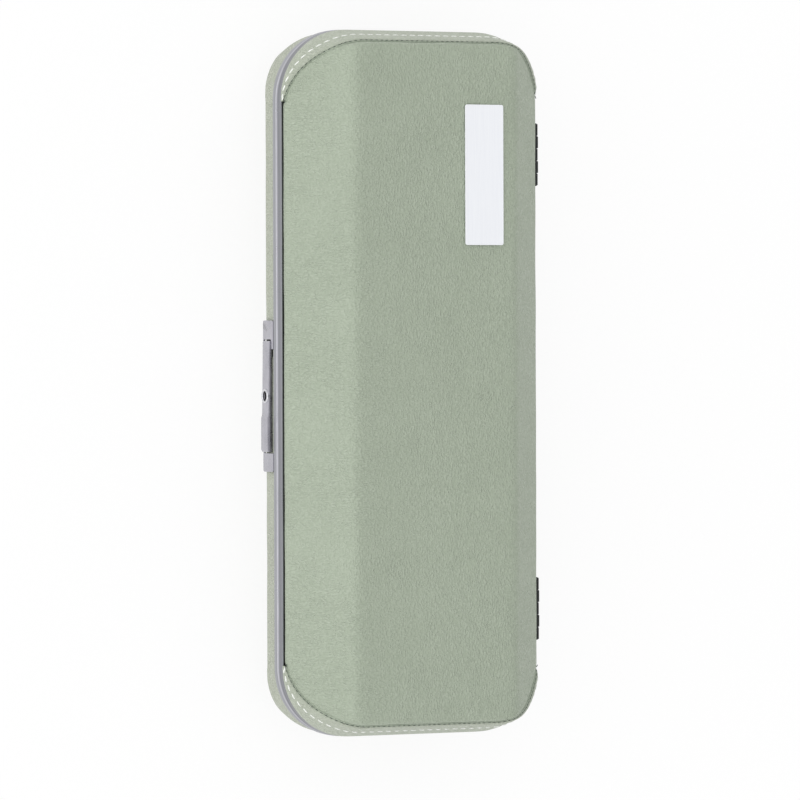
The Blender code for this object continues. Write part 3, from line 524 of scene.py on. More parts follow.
def cover_panel(form):
    """The sheet over crown and long sides. It dips along the seam and turns in at the rail."""
    panel = cut_at_seam(form, form["name"] + "_leather_panel", "INTERSECT")
    open_at_mouth(panel, form["rim"], seam_cut)
    push_in(at_seam(form, edge_play), *seam_dip)
    push_in(at_mouth(form), *panel_turn_in)
    end_edit()
    undulate(panel, *leather_wave)
    return lay_sheet(panel, form, form["leather"], form["name"] + "_cover_panel")


def cover_band(form, side, sign):
    """The band round one end, with its edge rolled over at the seam."""
    band = cut_at_seam(form, f"{form['name']}_leather_band_{side}", "DIFFERENCE")
    open_at_mouth(band, form["rim"], lambda face: seam_cut(face) or face.calc_center_median().x * sign < 0)
    pick("verts", lambda vert: vert.is_boundary and at_seam(form, edge_play)(vert.co))
    bpy.ops.mesh.select_more()
    bpy.ops.mesh.subdivide(number_cuts=1)
    end_edit()
    push_out(band, lambda place: form["band_rise"] * smooth_share(abs(place.x) - tail_start, tail_taper))
    start_edit(band, "VERT")
    push_in(at_seam(form, seam_roll[1]), *seam_roll)
    push_in(at_mouth(form), *band_turn_in)
    end_edit()
    return lay_sheet(band, form, form["band_leather"], f"{form['name']}_cover_end_{side}")


for form in (lid_form, base_form):
    form["leather"] = sage_leather(*form["tones"])
    # The bands' copy of the leather is lighter: painted light.
    form["band_leather"] = sage_leather(*form["band_tones"])
    form["block"] = outer_form(form)
    form["panel"] = cover_panel(form)
    form["bands"] = [cover_band(form, "left", -1), cover_band(form, "right", 1)]


# Seams and stitching
# Dark green thread joins band and panel, and bridges the fold in small stitches over a sage cord that
# fills it. White thread is sewn along each of the lid's bands, between the seam and the rail.

seam_cord_radius = 0.00040
seam_cord_sink = 0.00028
seam_stitch = {"length": 0.0015, "radius": 0.00020, "pitch": 0.0025, "slant": 0}
top_stitch = {"length": 0.0030, "radius": 0.00037, "pitch": 0.0041, "slant": 9}
top_stitch_share = 0.38
stitch_rise = 0.00022
sewn_from = 0.1265
side_inset = 0.0004
side_play = 0.0006
tail_sink = 0.0009
arc_steps = 32
plan_steps = 400
seam_steps = 200
ray_start = 0.02


def sewing_thread(name, dark, light):
    """Twisted polyester thread. The twist of 0.5 mm shows as slanting bands of two tones."""
    material, place = new_material(name)
    twist = {"Vector": place, "Scale": 330, "Distortion": 0.6}
    plies = add_node(material, "TexWave", twist, bands_direction="DIAGONAL").outputs["Fac"]
    return close_material(
        material,
        Base_Color=between(material, plies, dark, light, 0.2, 0.8),
        Roughness=0.6,
        relief=(plies, 0.00008, 0.6),
        Sheen_Weight=0.3,
    )


def spaced(places, count):
    """The same line of places in equal steps."""
    runs = [0.0]
    for here, there in zip(places, places[1:]):
        runs.append(runs[-1] + (there - here).length)
    line = []
    leg = 0
    for step in range(count):
        run = runs[-1] * step / (count - 1)
        while leg < len(runs) - 2 and runs[leg + 1] < run:
            leg += 1
        share = (run - runs[leg]) / max(runs[leg + 1] - runs[leg], 1e-9)
        line.append(places[leg].lerp(places[leg + 1], min(share, 1)))
    return line


def run_length(places):
    return sum((there - here).length for here, there in zip(places, places[1:]))


def round_end(sign, half_length, sides, radii):
    """A line round one end of the case in plan, from its front tail to its back tail."""
    places = []
    for index, (side, radius) in enumerate(zip(sides, radii)):
        centre = Vector((half_length - radius, side - radius * (2 * index - 1), 0))
        for step in range(arc_steps + 1):
            angle = math.radians(90 * (step / arc_steps + index - 1))
            places.append(centre + radius * Vector((math.cos(angle), math.sin(angle), 0)))
    line = [place for place in spaced(places, plan_steps) if place.x > sewn_from]
    return [Vector((sign * place.x, place.y, 0)) for place in spaced(line, seam_steps)]


def seam_line(form, sign):
    """Where the seam of one end lies on the half's outside, with the normals there."""
    line = []
    reach = case_half_width - cover_setback - side_inset
    tree = BVHTree.FromObject(form["block"], bpy.context.evaluated_depsgraph_get())
    for place in round_end(sign, seam_half_length, seam_sides, seam_corners):
        start = Vector((place.x, max(-reach, min(reach, place.y)), 2 * form["depth"]))
        spot, normal, _, _ = tree.ray_cast(start, Vector((0, 0, -1)))
        if spot.z > form["sewn_above"] and abs(place.y) < reach + side_play:
            spot -= normal * tail_sink * (1 - seam_share(form, spot.z))
            spot = Vector((spot.x, spot.y, spot.z * form["up"] + seam_level))
            line.append((spot, Vector((normal.x, normal.y, normal.z * form["up"]))))
    return line


def stitch_line(form, sign, sheet, share):
    """The line on a sheet that lies a share of the way from seam to rail, with the normals there."""
    radius = case_corner - cover_setback
    half_width = case_half_width - cover_setback
    rim = round_end(sign, case_half_length - cover_setback, (-half_width, half_width), (radius, radius))
    tree = BVHTree.FromObject(sheet, bpy.context.evaluated_depsgraph_get())
    seam = seam_line(form, sign)
    rim = spaced(rim, len(seam))
    line = []
    for index, ((upper, facing), lower) in enumerate(zip(seam, rim)):
        run = rim[min(index + 1, len(rim) - 1)] - rim[max(index - 1, 0)]
        run.z = 0
        outward = (run.cross(Vector((0, 0, sign))).normalized() + facing).normalized()
        lower.z = seam_level + form["up"] * form["rim"]
        start = upper.lerp(lower, share) + outward * ray_start
        spot, normal, _, _ = tree.ray_cast(start, -outward)
        if spot:
            line.append((spot, normal))
    return line


def sew(name, line, stitch, material, body, rise=0.0):
    """Stitches along a line, each a short bulge of thread that dips into the leather at its ends."""
    places = [place for place, _ in line]
    count = round(run_length(places) / stitch["pitch"])
    bpy.ops.mesh.primitive_uv_sphere_add(segments=8, ring_count=6, radius=1)
    start_edit(bpy.context.object, "VERT", "SELECT")
    bpy.ops.transform.rotate(value=math.pi / 2, orient_axis="Y", center_override=(0, 0, 0))
    size = (stitch["length"] / 2, stitch["radius"], stitch["radius"])
    bpy.ops.transform.resize(value=size, center_override=(0, 0, 0))
    slant = math.radians(stitch["slant"])
    bpy.ops.transform.rotate(value=slant, orient_axis="Z", center_override=(0, 0, 0))
    end_edit()
    row = bpy.context.object
    row.name = name
    model = row.data.copy()
    stitches = bmesh.new()
    for place in spaced(places, count):
        nearest = min(range(len(line)), key=lambda i: (line[i][0] - place).length)
        before, after = line[max(nearest - 1, 0)][0], line[min(nearest + 1, len(line) - 1)][0]
        normal = line[nearest][1].normalized()
        along = (after - before).normalized()
        across = normal.cross(along).normalized()
        pose = Matrix((along, across, along.cross(across))).transposed().to_4x4()
        pose.translation = place + normal * rise
        made = model.copy()
        made.transform(pose)
        stitches.from_mesh(made)
        bpy.data.meshes.remove(made)
    stitches.to_mesh(row.data)
    stitches.free()
    bpy.data.meshes.remove(model)
    return finish_piece(row, material, body, 60)


def put_in_scene(name, data):
    """An object for a mesh, curve, lamp or camera."""
    made = bpy.data.objects.new(name, data)
    bpy.context.scene.collection.objects.link(made)
    return made


def lay_cord(name, line, material, body):
    """A cord that runs on along a line, sunk into the fold."""
    curve = bpy.data.curves.new(name, "CURVE")
    curve.dimensions = "3D"
    curve.bevel_depth = seam_cord_radius
    curve.bevel_resolution = 1
    curve.use_fill_caps = True
    places = [place - normal * seam_cord_sink for place, normal in line[::2]]
    spline = curve.splines.new("POLY")
    spline.points.add(len(places) - 1)
    for point, place in zip(spline.points, places):
        point.co = (*place, 1)
    cord = put_in_scene(name, curve)
    select_only(cord)
    bpy.ops.object.convert(target="MESH")
    return finish_piece(cord, material, body, 60)


green_thread = sewing_thread("green_thread", "#3B463B", "#4A564A")
white_thread = sewing_thread("white_thread", "#E4E7E2", "#F6F7F4")
sage_cord = sewing_thread("sage_cord", "#98A291", "#A2AC9B")
for form in (lid_form, base_form):
    body = form["name"]
    for side, sign, band in zip(("left", "right"), (-1, 1), form["bands"]):
        fold = seam_line(form, sign)
        lay_cord(f"{body}_seam_cord_{side}", fold, sage_cord, body)
        sew(f"{body}_seam_stitches_{side}", fold, seam_stitch, green_thread, body, stitch_rise)
        if body == "lid":
            line = stitch_line(form, sign, band, top_stitch_share)
            sew(f"{body}_top_stitches_{side}", line, top_stitch, white_thread, body)
    bpy.data.objects.remove(form.pop("block"), do_unlink=True)


# Rails round the mouths
# Two rings bent from one extruded aluminium section and anodised. Each holds the edge of its half: a
# face that shows, a flange over the covering and a lip inside the shell. The lid's has the seal's groove.
# A painted highlight runs along the bead beside the gap, and the lid rail's tones are darker: painted shade.

half_seam = 0.00015
rail_heights = {"base": 0.0035, "lid": 0.0045}
rail_flange = 0.0011
rail_web_top = 0.00215
rail_lip = (0.0041, 0.0051)
lip_depths = {"base": 0.0055, "lid": 0.0044}
rail_faces_mm = {
    "base": [(0.45, 0.15), (0.30, 0.32), (0.17, 0.58), (0.06, 0.95), (0.0, 1.5), (0.0, 2.0), (0.04, 2.8)],
    "lid": [(0.30, 0.15), (0.08, 0.24), (0.0, 0.42), (0.0, 0.62), (0.33, 1.18), (0.37, 1.32), (0.36, 3.8)],
}
rail_round = 0.0004
highlight_level = 0.0372
seal_groove = (0.0018, 0.0036, 0.00125)
hinge_middle = 0.1045
hinge_length = 0.0285
leaf_inner = 0.0607
leaf_thickness = 0.0009
pocket_play = 0.0002
pocket_depth_play = 0.0001
overrun = 0.001


def anodised_aluminium(dark, light):
    """Satin anodised aluminium, lilac grey, with a painted highlight: a brighter band along the bead beside
    the gap.

    Drawing left fine lines along it, shown 0.3 mm wide.
    """
    material, place = new_material("anodised_aluminium")
    drawn = add_node(material, "Mapping", {"Vector": place, "Scale": (25, 25, 3200)})
    lines = add_node(material, "TexNoise", {"Vector": drawn, "Scale": 1, "Detail": 3})
    haze = add_node(material, "TexNoise", {"Vector": place, "Scale": 90, "Detail": 3})
    # Painted highlight: a lighter tone in a band at one height, along the bead beside the gap.
    height = add_node(material, "SeparateXYZ", {"Vector": place}).outputs["Z"]
    above = add_node(material, "Math", {0: height, 1: highlight_level}, operation="SUBTRACT")
    away = add_node(material, "Math", {0: above}, operation="ABSOLUTE")
    painted_highlight = between(material, away, 1.0, 0.0, 0.0006, 0.0011)
    tones = {6: between(material, lines, dark, light), 7: between(material, haze, "#B4B4BA", "#C0C0C6")}
    mixed = add_node(material, "Mix", {0: painted_highlight, **tones}, data_type="RGBA").outputs[2]
    return close_material(
        material,
        Base_Color=mixed,
        Metallic=1.0,
        Roughness=between(material, haze, 0.26, 0.36),
        relief=(lines, 0.00002, 0.5),
    )


def face_points(half, steps=4):
    """The face of a rail in section: crowned on the base, a bead below a flat on the lid."""
    points = [(inset / 1000, depth / 1000) for inset, depth in rail_faces_mm[half]]
    start = points[-1][0]
    for step in range(steps + 1):
        angle = math.radians(90 * step / steps)
        inset = start + rail_round * (1 - math.cos(angle))
        points.append((inset, rail_heights[half] - rail_round * (1 - math.sin(angle))))
    return points


def merge():
    """Join the selected points that coincide, and turn the faces outwards."""
    bpy.ops.mesh.remove_doubles(threshold=tolerance)
    bpy.ops.mesh.normals_make_consistent(inside=False)


def sweep_round_mouth(name, section, up):
    """Sweep a section of insets and depths once round the case, with bent corners."""
    mesh = bpy.data.meshes.new(name)
    places = [(0, inset - case_half_width, seam_level + up * depth) for inset, depth in section]
    mesh.from_pydata(places, [], [range(len(places))])
    piece = put_in_scene(name, mesh)
    x = case_half_length - case_corner
    y = case_half_width - case_corner
    moves = ((x, 0), (0, 2 * y), (-2 * x, 0), (0, -2 * y))
    corner_centres = ((x, -y), (x, y), (-x, y), (-x, -y))
    start_edit(piece, "FACE", "SELECT")
    for move, centre in zip(moves, corner_centres):
        bpy.ops.mesh.extrude_region_move(TRANSFORM_OT_translate={"value": (*move, 0)})
        bpy.ops.mesh.spin(steps=24, angle=-math.pi / 2, center=(*centre, 0), axis=(0, 0, 1))
    bpy.ops.mesh.extrude_region_move(TRANSFORM_OT_translate={"value": (x, 0, 0)})
    pick("faces", lambda face: len(face.verts) > 4)
    bpy.ops.mesh.delete(type="ONLY_FACE")
    bpy.ops.mesh.select_all(action="SELECT")
    merge()
    end_edit()
    return piece


def make_rail(half, up, material):
    """One rail, with shallow pockets where the hinge leaves are let into its meeting face."""
    lip = lip_depths[half]
    height = rail_heights[half]
    section = face_points(half)
    section += [(rail_flange, height), (rail_flange, rail_web_top), (rail_lip[0], rail_web_top)]
    section += [(rail_lip[0], lip), (rail_lip[1], lip), (rail_lip[1], half_seam)]
    low, high, depth = seal_groove
    section += [(high, half_seam), (high, depth), (low, depth), (low, half_seam)]
    rail = sweep_round_mouth(half + "_drawn_rail", section, up)
    for sign in (-1, 1):
        reach = hinge_length / 2 + pocket_play
        deep = seam_level + up * (half_seam + leaf_thickness + pocket_depth_play)
        heights = sorted((seam_level - up * overrun, deep))
        low_corner = (sign * hinge_middle - reach, leaf_inner - pocket_depth_play, heights[0])
        high_corner = (sign * hinge_middle + reach, case_half_width + overrun, heights[1])
        carve(rail, add_block("pocket", low_corner, high_corner))
    return finish_piece(rail, material, half, 35, [half + "_rail"])


# The lid rail gets darker tones than the base rail: painted shade on the same aluminium.
make_rail("base", -1, anodised_aluminium("#9D9EA3", "#AAABB0"))
make_rail("lid", 1, anodised_aluminium("#85868B", "#939499"))


# Seal between the rails
# A black rubber cord pressed into the lid rail's groove, in one long length and a short one between the
# hinges. Moulding left it dull, with a little bloom.


def black_rubber():
    """EPDM rubber: matt, with grey bloom in soft patches and a skin of fine pits."""
    material, place = new_material("black_rubber")
    bloom = add_node(material, "TexNoise", {"Vector": place, "Scale": 120, "Detail": 4})
    pits = add_node(material, "TexNoise", {"Vector": place, "Scale": 3000, "Detail": 2})
    return close_material(
        material,
        Base_Color=between(material, bloom, "#1B1B1B", "#2B2B2A"),
        Roughness=0.78,
        relief=(pits, 0.00005, 0.5),
    )


dress_node(black_rubber(), "rim_seal", "rim_seal_spine")


# Hinges
# Two butt hinges of stamped steel, lacquered black. The leaves lie in the rails' pockets, held by
# flush rivets, and five rolled knuckles turn on a pin with domed heads.

hinge_axis = (0.0671, 0.0370)
knuckle_pitch = 0.0057
knuckle_gap = 0.00012
knuckle_radii = {"base": 0.0011, "lid": 0.0013}
knuckle_count = 5
knuckle_round = 0.0004
leaf_edge = 0.0649
leaf_round = 0.00015
tab_overlap = 0.0003
hinge_pin_radius = 0.0006
pin_proud = 0.0002
pin_round = 0.00025


def black_lacquer():
    """Black stoving lacquer on steel: slight orange peel of 1 mm, and greyer in soft patches of dust."""
    material, place = new_material("black_lacquer")
    peel = add_node(material, "TexNoise", {"Vector": place, "Scale": 900, "Detail": 2})
    dust = add_node(material, "TexNoise", {"Vector": place, "Scale": 260, "Detail": 4})
    return close_material(
        material,
        Base_Color=between(material, dust, "#141716", "#232826", 0.35, 0.75),
        Roughness=between(material, dust, 0.42, 0.6),
        IOR=1.5,
        relief=(peel, 0.00006, 0.5),
    )


def rod(name, start, end, axis, radius, edge, segments=28):
    """A round bar along X between two places, with rolled ends."""
    bpy.ops.mesh.primitive_cylinder_add(vertices=segments, radius=radius, depth=end - start)
    piece = bpy.context.object
    piece.name = name
    start_edit(piece, "VERT", "SELECT")
    bpy.ops.transform.rotate(value=math.pi / 2, orient_axis="Y", center_override=(0, 0, 0))
    bpy.ops.transform.translate(value=((start + end) / 2, *axis))
    pick("faces", lambda face: abs(face.normal.x) > 0.9)
    round_edges(edge, 3)
    end_edit()
    return piece


def join(name, *pieces):
    """One piece from several that are welded or cast in one."""
    for other in pieces[1:]:
        carve(pieces[0], other, "UNION")
    pieces[0].name = name
    return pieces[0]


def soften(piece, width, segments=2, angle=30):
    """Break a piece's sharp edges."""
    limit = {"limit_method": "ANGLE", "angle_limit": math.radians(angle)}
    apply_modifier(piece, "BEVEL", width=width, segments=segments, **limit)
    return piece


def make_leaf(half, up, side, sign, material):
    """A leaf with the knuckles of its half: three on the base's, two on the lid's."""
    middle_x = sign * hinge_middle
    start = middle_x - hinge_length / 2
    near = seam_level + up * half_seam
    far = near + up * leaf_thickness
    low, high = sorted((near, far))
    leaf = add_block("leaf", (start, leaf_inner, low), (start + hinge_length, leaf_edge, high))
    soften(leaf, leaf_round)
    parts = [leaf]
    for index in range(0 if half == "base" else 1, knuckle_count, 2):
        left = start + index * knuckle_pitch + knuckle_gap / 2
        right = left + knuckle_pitch - knuckle_gap
        parts.append(add_block("tab", (left, leaf_edge - tab_overlap, low), (right, hinge_axis[0], high)))
        parts.append(rod("knuckle", left, right, hinge_axis, knuckle_radii[half], knuckle_round))
    piece = join(f"{half}_hinge_leaf_{side}", *parts)
    finish_piece(piece, material, half, 35, [f"hinge_{half}_leaf_{side}"])


lacquer = black_lacquer()
for side, sign in (("left", -1), ("right", 1)):
    make_leaf("base", -1, side, sign, lacquer)
    make_leaf("lid", 1, side, sign, lacquer)
    ends = [sign * hinge_middle + end * (hinge_length / 2 + pin_proud) for end in (-1, 1)]
    pin = rod("hinge_steel_pin_" + side, *ends, hinge_axis, hinge_pin_radius, pin_round, 20)
    finish_piece(pin, lacquer, "base", 35, ["hinge_pin_" + side])
for half in ("base", "lid"):
    dress_node(lacquer, *[f"hinge_{half}_rivet_{number}" for number in (1, 2, 3, 4)])


# Latch plate, lever and lock
# Die-cast zinc with a satin nickel finish. The lever lies in the plate's window, hung on an upright pin
# at its left end, and its free end thickens into a lip for the finger. A chromed lock sits in it. The
# cover behind is open where the lever's heel turns.

plate_ends = (-0.02855, 0.03995)
plate_heights = (0.0231, 0.0333)
plate_faces = (-0.0652, -0.0643)
plate_corner = 0.0009
plate_round = 0.0002
window_play = 0.0006
notch_start = 0.0012
lever_ends = (-0.0193, 0.0309)
lever_heights = (0.0244, 0.0309)
lever_back = -0.0643
lever_face = (-0.06600, -0.06635)
lever_rounds = (0.0002, 0.00035)
heel_face = -0.0655
heel_length = 0.0006
heel_sweep = (-0.0205, -0.0119)
heel_play = 0.0002
heel_cut = (-0.0663, -0.0603)
lip_start = 0.0144
lip_ramp = 0.001
lip_step = 0.0001
lip_rise = 0.0012
lip_face = -0.06690
tip_length = 0.0008
tip_drop = 0.0006
lock_middle = (0.0057, 0.02765)
collar_radii = (0.0033, 0.0022)
collar_faces = (-0.0668, -0.0655)
collar_round = 0.0004
collar_seat = 0.0004
cylinder_face = -0.0662
cylinder_play = 0.0002
cylinder_round = 0.0003
keyway = (0.0012, 0.0031, 0.0014)


def satin_nickel():
    """Satin nickel on zinc: a fine brushed haze along the latch, with cloudy patches of gloss."""
    material, place = new_material("satin_nickel")
    brushed = add_node(material, "Mapping", {"Vector": place, "Scale": (120, 2600, 2600)})
    lines = add_node(material, "TexNoise", {"Vector": brushed, "Scale": 1, "Detail": 2})
    cloud = add_node(material, "TexNoise", {"Vector": place, "Scale": 150, "Detail": 3})
    return close_material(
        material,
        Base_Color=between(material, cloud, "#B0AFB6", "#BDBCC3"),
        Metallic=1.0,
        Roughness=between(material, cloud, 0.24, 0.34),
        relief=(lines, 0.00002, 0.5),
    )


def polished_chrome(name, dark, light):
    """Polished chromium, with faint wipe marks in its gloss. The cylinder's is a darker copy: painted shade
    for the dark that its face reflects.
    """
    material, place = new_material(name)
    wipes = add_node(material, "TexNoise", {"Vector": place, "Scale": 700, "Detail": 3})
    return close_material(
        material,
        Base_Color=between(material, wipes, dark, light),
        Metallic=1.0,
        Roughness=between(material, wipes, 0.08, 0.18),
    )


def round_corners(piece, axis, radius, segments):
    """Round the edges of a block that run along one axis."""
    start_edit(piece, "EDGE")
    pick("edges", lambda edge: abs(span(edge)[axis]) > tolerance)
    round_edges(radius, segments)
    end_edit()


def make_latch_plate(material):
    """A plate with rounded corners and a window for the lever, open above but for the pin's ear."""
    low = (plate_ends[0], plate_faces[0], plate_heights[0])
    plate = add_block("cast_latch_plate", low, (plate_ends[1], plate_faces[1], plate_heights[1]))
    round_corners(plate, 1, plate_corner, 5)
    near, far = plate_faces[0] - overrun, plate_faces[1] + overrun
    low = (lever_ends[0] - window_play, near, lever_heights[0] - window_play)
    high = (lever_ends[1] + window_play, far, lever_heights[1] + window_play)
    window = add_block("window", low, high)
    round_corners(window, 1, plate_corner, 5)
    carve(plate, window)
    low = (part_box("lever_pin")[1][0] + notch_start, near, lever_heights[1] - overrun)
    carve(plate, add_block("notch", low, (high[0], far, plate_heights[1] + overrun)))
    soften(plate, plate_round)
    return finish_piece(plate, material, "base", 35, ["latch_plate"])


def make_lever(material):
    """The lever in plan, drawn up to its height, with its long edges rolled."""
    left, right = lever_ends
    low, high = lever_heights
    plan = [(left, lever_back), (left, heel_face), (left + heel_length, lever_face[0])]
    plan += [(lip_start - lip_ramp, lever_face[1]), (lip_start, lever_face[1] - lip_step)]
    plan += [(lip_start + lip_rise, lip_face), (right - tip_length, lip_face)]
    plan += [(right, lip_face + tip_drop), (right, lever_back)]
    mesh = bpy.data.meshes.new("cast_lever")
    mesh.from_pydata([(x, y, low) for x, y in plan], [], [range(len(plan))])
    lever = put_in_scene("cast_lever", mesh)
    start_edit(lever, "FACE", "SELECT")
    bpy.ops.mesh.extrude_region_move(TRANSFORM_OT_translate={"value": (0, 0, high - low)})
    bpy.ops.mesh.select_all(action="SELECT")
    bpy.ops.mesh.normals_make_consistent(inside=False)
    front = (lever_back + heel_face) / 2
    pick("edges", lambda edge: abs(span(edge).z) < tolerance and all(end.co.y < front for end in edge.verts))
    round_edges(lever_rounds[0], 2)
    pick("edges", lambda edge: abs(span(edge).z) > (high - low) / 2 and middle(edge).y < front)
    round_edges(lever_rounds[1], 3)
    end_edit()
    seat_radius = collar_radii[0] - collar_seat
    carve(lever, upright_disc("seat", seat_radius, collar_faces[0] - 2 * overrun, lever_back + overrun))
    return finish_piece(lever, material, "lever", 40, ["latch_lever"])


def upright_disc(name, radius, front, back):
    """A disc on the lock's axis."""
    place = (lock_middle[0], (front + back) / 2, lock_middle[1])
    size = {"vertices": 48, "radius": radius, "depth": abs(back - front)}
    bpy.ops.mesh.primitive_cylinder_add(**size, location=place, rotation=(math.pi / 2, 0, 0))
    bpy.ops.object.transform_apply(location=True, rotation=True, scale=True)
    disc = bpy.context.object
    disc.name = name
    return disc


def make_lock(material, shaded_material):
    """A collar with a rounded face, and in it the cylinder with its keyway."""
    outer, inner = collar_radii
    collar = upright_disc("chrome_collar", outer, *collar_faces)
    carve(collar, upright_disc("bore", inner, collar_faces[0] - overrun, collar_faces[1] + overrun))
    soften(collar, collar_round, 4)
    finish_piece(collar, material, "lever", 50, ["lock_collar"])
    inner_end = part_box("lock_cylinder")[1][1]
    cylinder = upright_disc("chrome_cylinder", inner - cylinder_play, cylinder_face, inner_end)
    soften(cylinder, cylinder_round, 3)
    x, z = lock_middle
    width, height, depth = keyway
    low = (x - height / 2, cylinder_face - overrun, z - width / 2)
    carve(cylinder, add_block("slot", low, (x + height / 2, cylinder_face + depth, z + width / 2)))
    finish_piece(cylinder, shaded_material, "lock", 35, ["lock_cylinder"])


nickel = satin_nickel()
make_latch_plate(nickel)
make_lever(nickel)
bright_chrome = polished_chrome("bright_chrome", "#C6C6CA", "#DCDCE0")
# Painted shade: the cylinder is a darker copy of the chrome.
black_chrome = polished_chrome("black_chrome", "#58585C", "#6E6E73")
make_lock(bright_chrome, black_chrome)
low = (heel_sweep[0], heel_cut[0], lever_heights[0] - heel_play)
high = (heel_sweep[1], heel_cut[1], lever_heights[1] + heel_play)
carve(base_form["panel"], add_block("heel_opening", low, high), solver="MANIFOLD")


# Works behind the latch
# Zinc-plated steel: the bracket and nuts that clamp the plate, the sliding bolt, the keeper in the lid
# and the lock's cam. The bolt's spring is wound from hard-drawn wire.


def zinc_plated_steel():
    """Bright zinc plating: bluish grey, with the spangle of the bath and rolling lines."""
    material, place = new_material("zinc_plated_steel")
    spangle = add_node(material, "TexVoronoi", {"Vector": place, "Scale": 420})
    rolled = add_node(material, "Mapping", {"Vector": place, "Scale": (60, 1800, 1800)})
    lines = add_node(material, "TexNoise", {"Vector": rolled, "Scale": 1, "Detail": 2})
    return close_material(
        material,
        Base_Color=between(material, spangle, "#A2A6AB", "#B9BCC1", 0.1, 0.8),
        Metallic=1.0,
        Roughness=between(material, spangle, 0.26, 0.42, 0.1, 0.8),
        relief=(lines, 0.00002, 0.5),
    )


def spring_wire():
    """Hard-drawn spring wire: dark grey steel with drawing marks along it and a film of oil."""
    material, place = new_material("spring_wire")
    marks = add_node(material, "TexNoise", {"Vector": place, "Scale": 2200, "Detail": 3})
    return close_material(
        material,
        Base_Color=between(material, marks, "#85868A", "#A0A1A6"),
        Metallic=1.0,
        Roughness=between(material, marks, 0.22, 0.36),
    )


works = ["latch_bracket", "latch_nut_left", "latch_nut_right", "latch_bolt", "lever_pin", "lock_cam"]
dress_node(zinc_plated_steel(), *works, "keeper", "keeper_rivet_1", "keeper_rivet_2")
wound_spring = copy_of(frame["nodes"]["latch_spring"], "wire_latch_spring")
apply_modifier(wound_spring, "SUBSURF", levels=1)
finish_piece(wound_spring, spring_wire(), "base", 60, ["latch_spring"])
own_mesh(wound_spring)


# Name plate
# A blank plate of white-lacquered aluminium, glued to the crown, with a fine raised rim.

name_plate_corner = 0.0010
name_plate_rim = 0.0006
name_plate_sink = 0.00008
name_plate_round = 0.0001


def white_lacquer():
    """White lacquer over brushed aluminium: faint lines along the plate under a satin coat."""
    material, place = new_material("white_lacquer")
    brushed = add_node(material, "Mapping", {"Vector": place, "Scale": (60, 2400, 600)})
    lines = add_node(material, "TexNoise", {"Vector": brushed, "Scale": 1, "Detail": 3})
    return close_material(
        material,
        Base_Color=between(material, lines, "#EEF0F5", "#F2F4F8"),
        Roughness=between(material, lines, 0.3, 0.4),
        relief=(lines, 0.00001, 0.4),
        Coat_Weight=0.3,
        Coat_Roughness=0.2,
    )


low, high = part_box("name_plate")
name_plate = add_block("white_name_plate", low, high)
round_corners(name_plate, 2, name_plate_corner, 6)
start_edit(name_plate, "FACE")
pick("faces", lambda face: face.normal.z > 0.9)
bpy.ops.mesh.inset(thickness=name_plate_rim, use_even_offset=True)
bpy.ops.mesh.inset(thickness=name_plate_sink, depth=-name_plate_sink, use_even_offset=True)
end_edit()
soften(name_plate, name_plate_round, 2, 50)
finish_piece(name_plate, white_lacquer(), "lid", 35, ["name_plate"])


# Cradle and lining
# Foam mouldings covered in dark grey plush: the cradle, with its wells for the joints, the bell and the
# tools, and the pad in the lid.

plush_voxel = 0.0016
plush_wave = (0.0003, 60)


def grey_plush():
    """Short velvet pile: deep grey that pales at a grazing angle, in patches where it was stroked."""
    material, place = new_material("grey_plush")
    pile = add_node(material, "TexNoise", {"Vector": place, "Scale": 1400, "Detail": 3})
    stroked = {"Vector": place, "Scale": 28, "Detail": 3, "Distortion": 1.2}
    patches = add_node(material, "TexNoise", stroked)
    return close_material(
        material,
        Base_Color=between(material, patches, "#33393B", "#444B4D"),
        Roughness=0.95,
        relief=(pile, 0.0004, 0.7),
        Sheen_Weight=0.6,
        Sheen_Roughness=0.35,
        Sheen_Tint=linear("#9AA6A8"),
    )


def cover_with_plush(node, name, body, material):
    """A moulding of the frame's solid with its edges rounded by foam and pile."""
    pad = copy_of(frame["nodes"][node], name)
    start_edit(pad, "VERT", "SELECT")
    merge()
    end_edit()
    apply_modifier(pad, "REMESH", mode="VOXEL", voxel_size=plush_voxel)
    start_edit(pad, "VERT", "SELECT")
    bpy.ops.mesh.vertices_smooth(factor=0.5, repeat=4)
    end_edit()
    undulate(pad, *plush_wave)
    finish_piece(pad, material, body, 60, [node])
    return pad


pile = grey_plush()
cover_with_plush("cradle", "plush_cradle", "base", pile)
cover_with_plush("lid_lining", "plush_lid_pad", "lid", pile)


# Studio
# The case lies on white paper in a bright surround that is lighter at its front, with one soft box low
# on that side. The camera looks down from the front through a long lens.

surround_strength = 1.03
surround_lean = 0.38
shade_centre = (0, 0.45, 0.89)
shade_edges = (0.82, 0.96)
ceiling_shade = (0.10, 0.80)
floor_size = 14
floor_level = -0.0002
paper_glow = 0.86
soft_box_power = 0.5
low_strip_power = 0.8
camera_lens = 270
camera_tilt = math.radians(26.5)
camera_pitch = math.radians(-0.739)
camera_roll = math.radians(-0.171)
camera_distance = 2.7354
camera_height = 0.035
camera_aim = (0.00164, 0.00791)


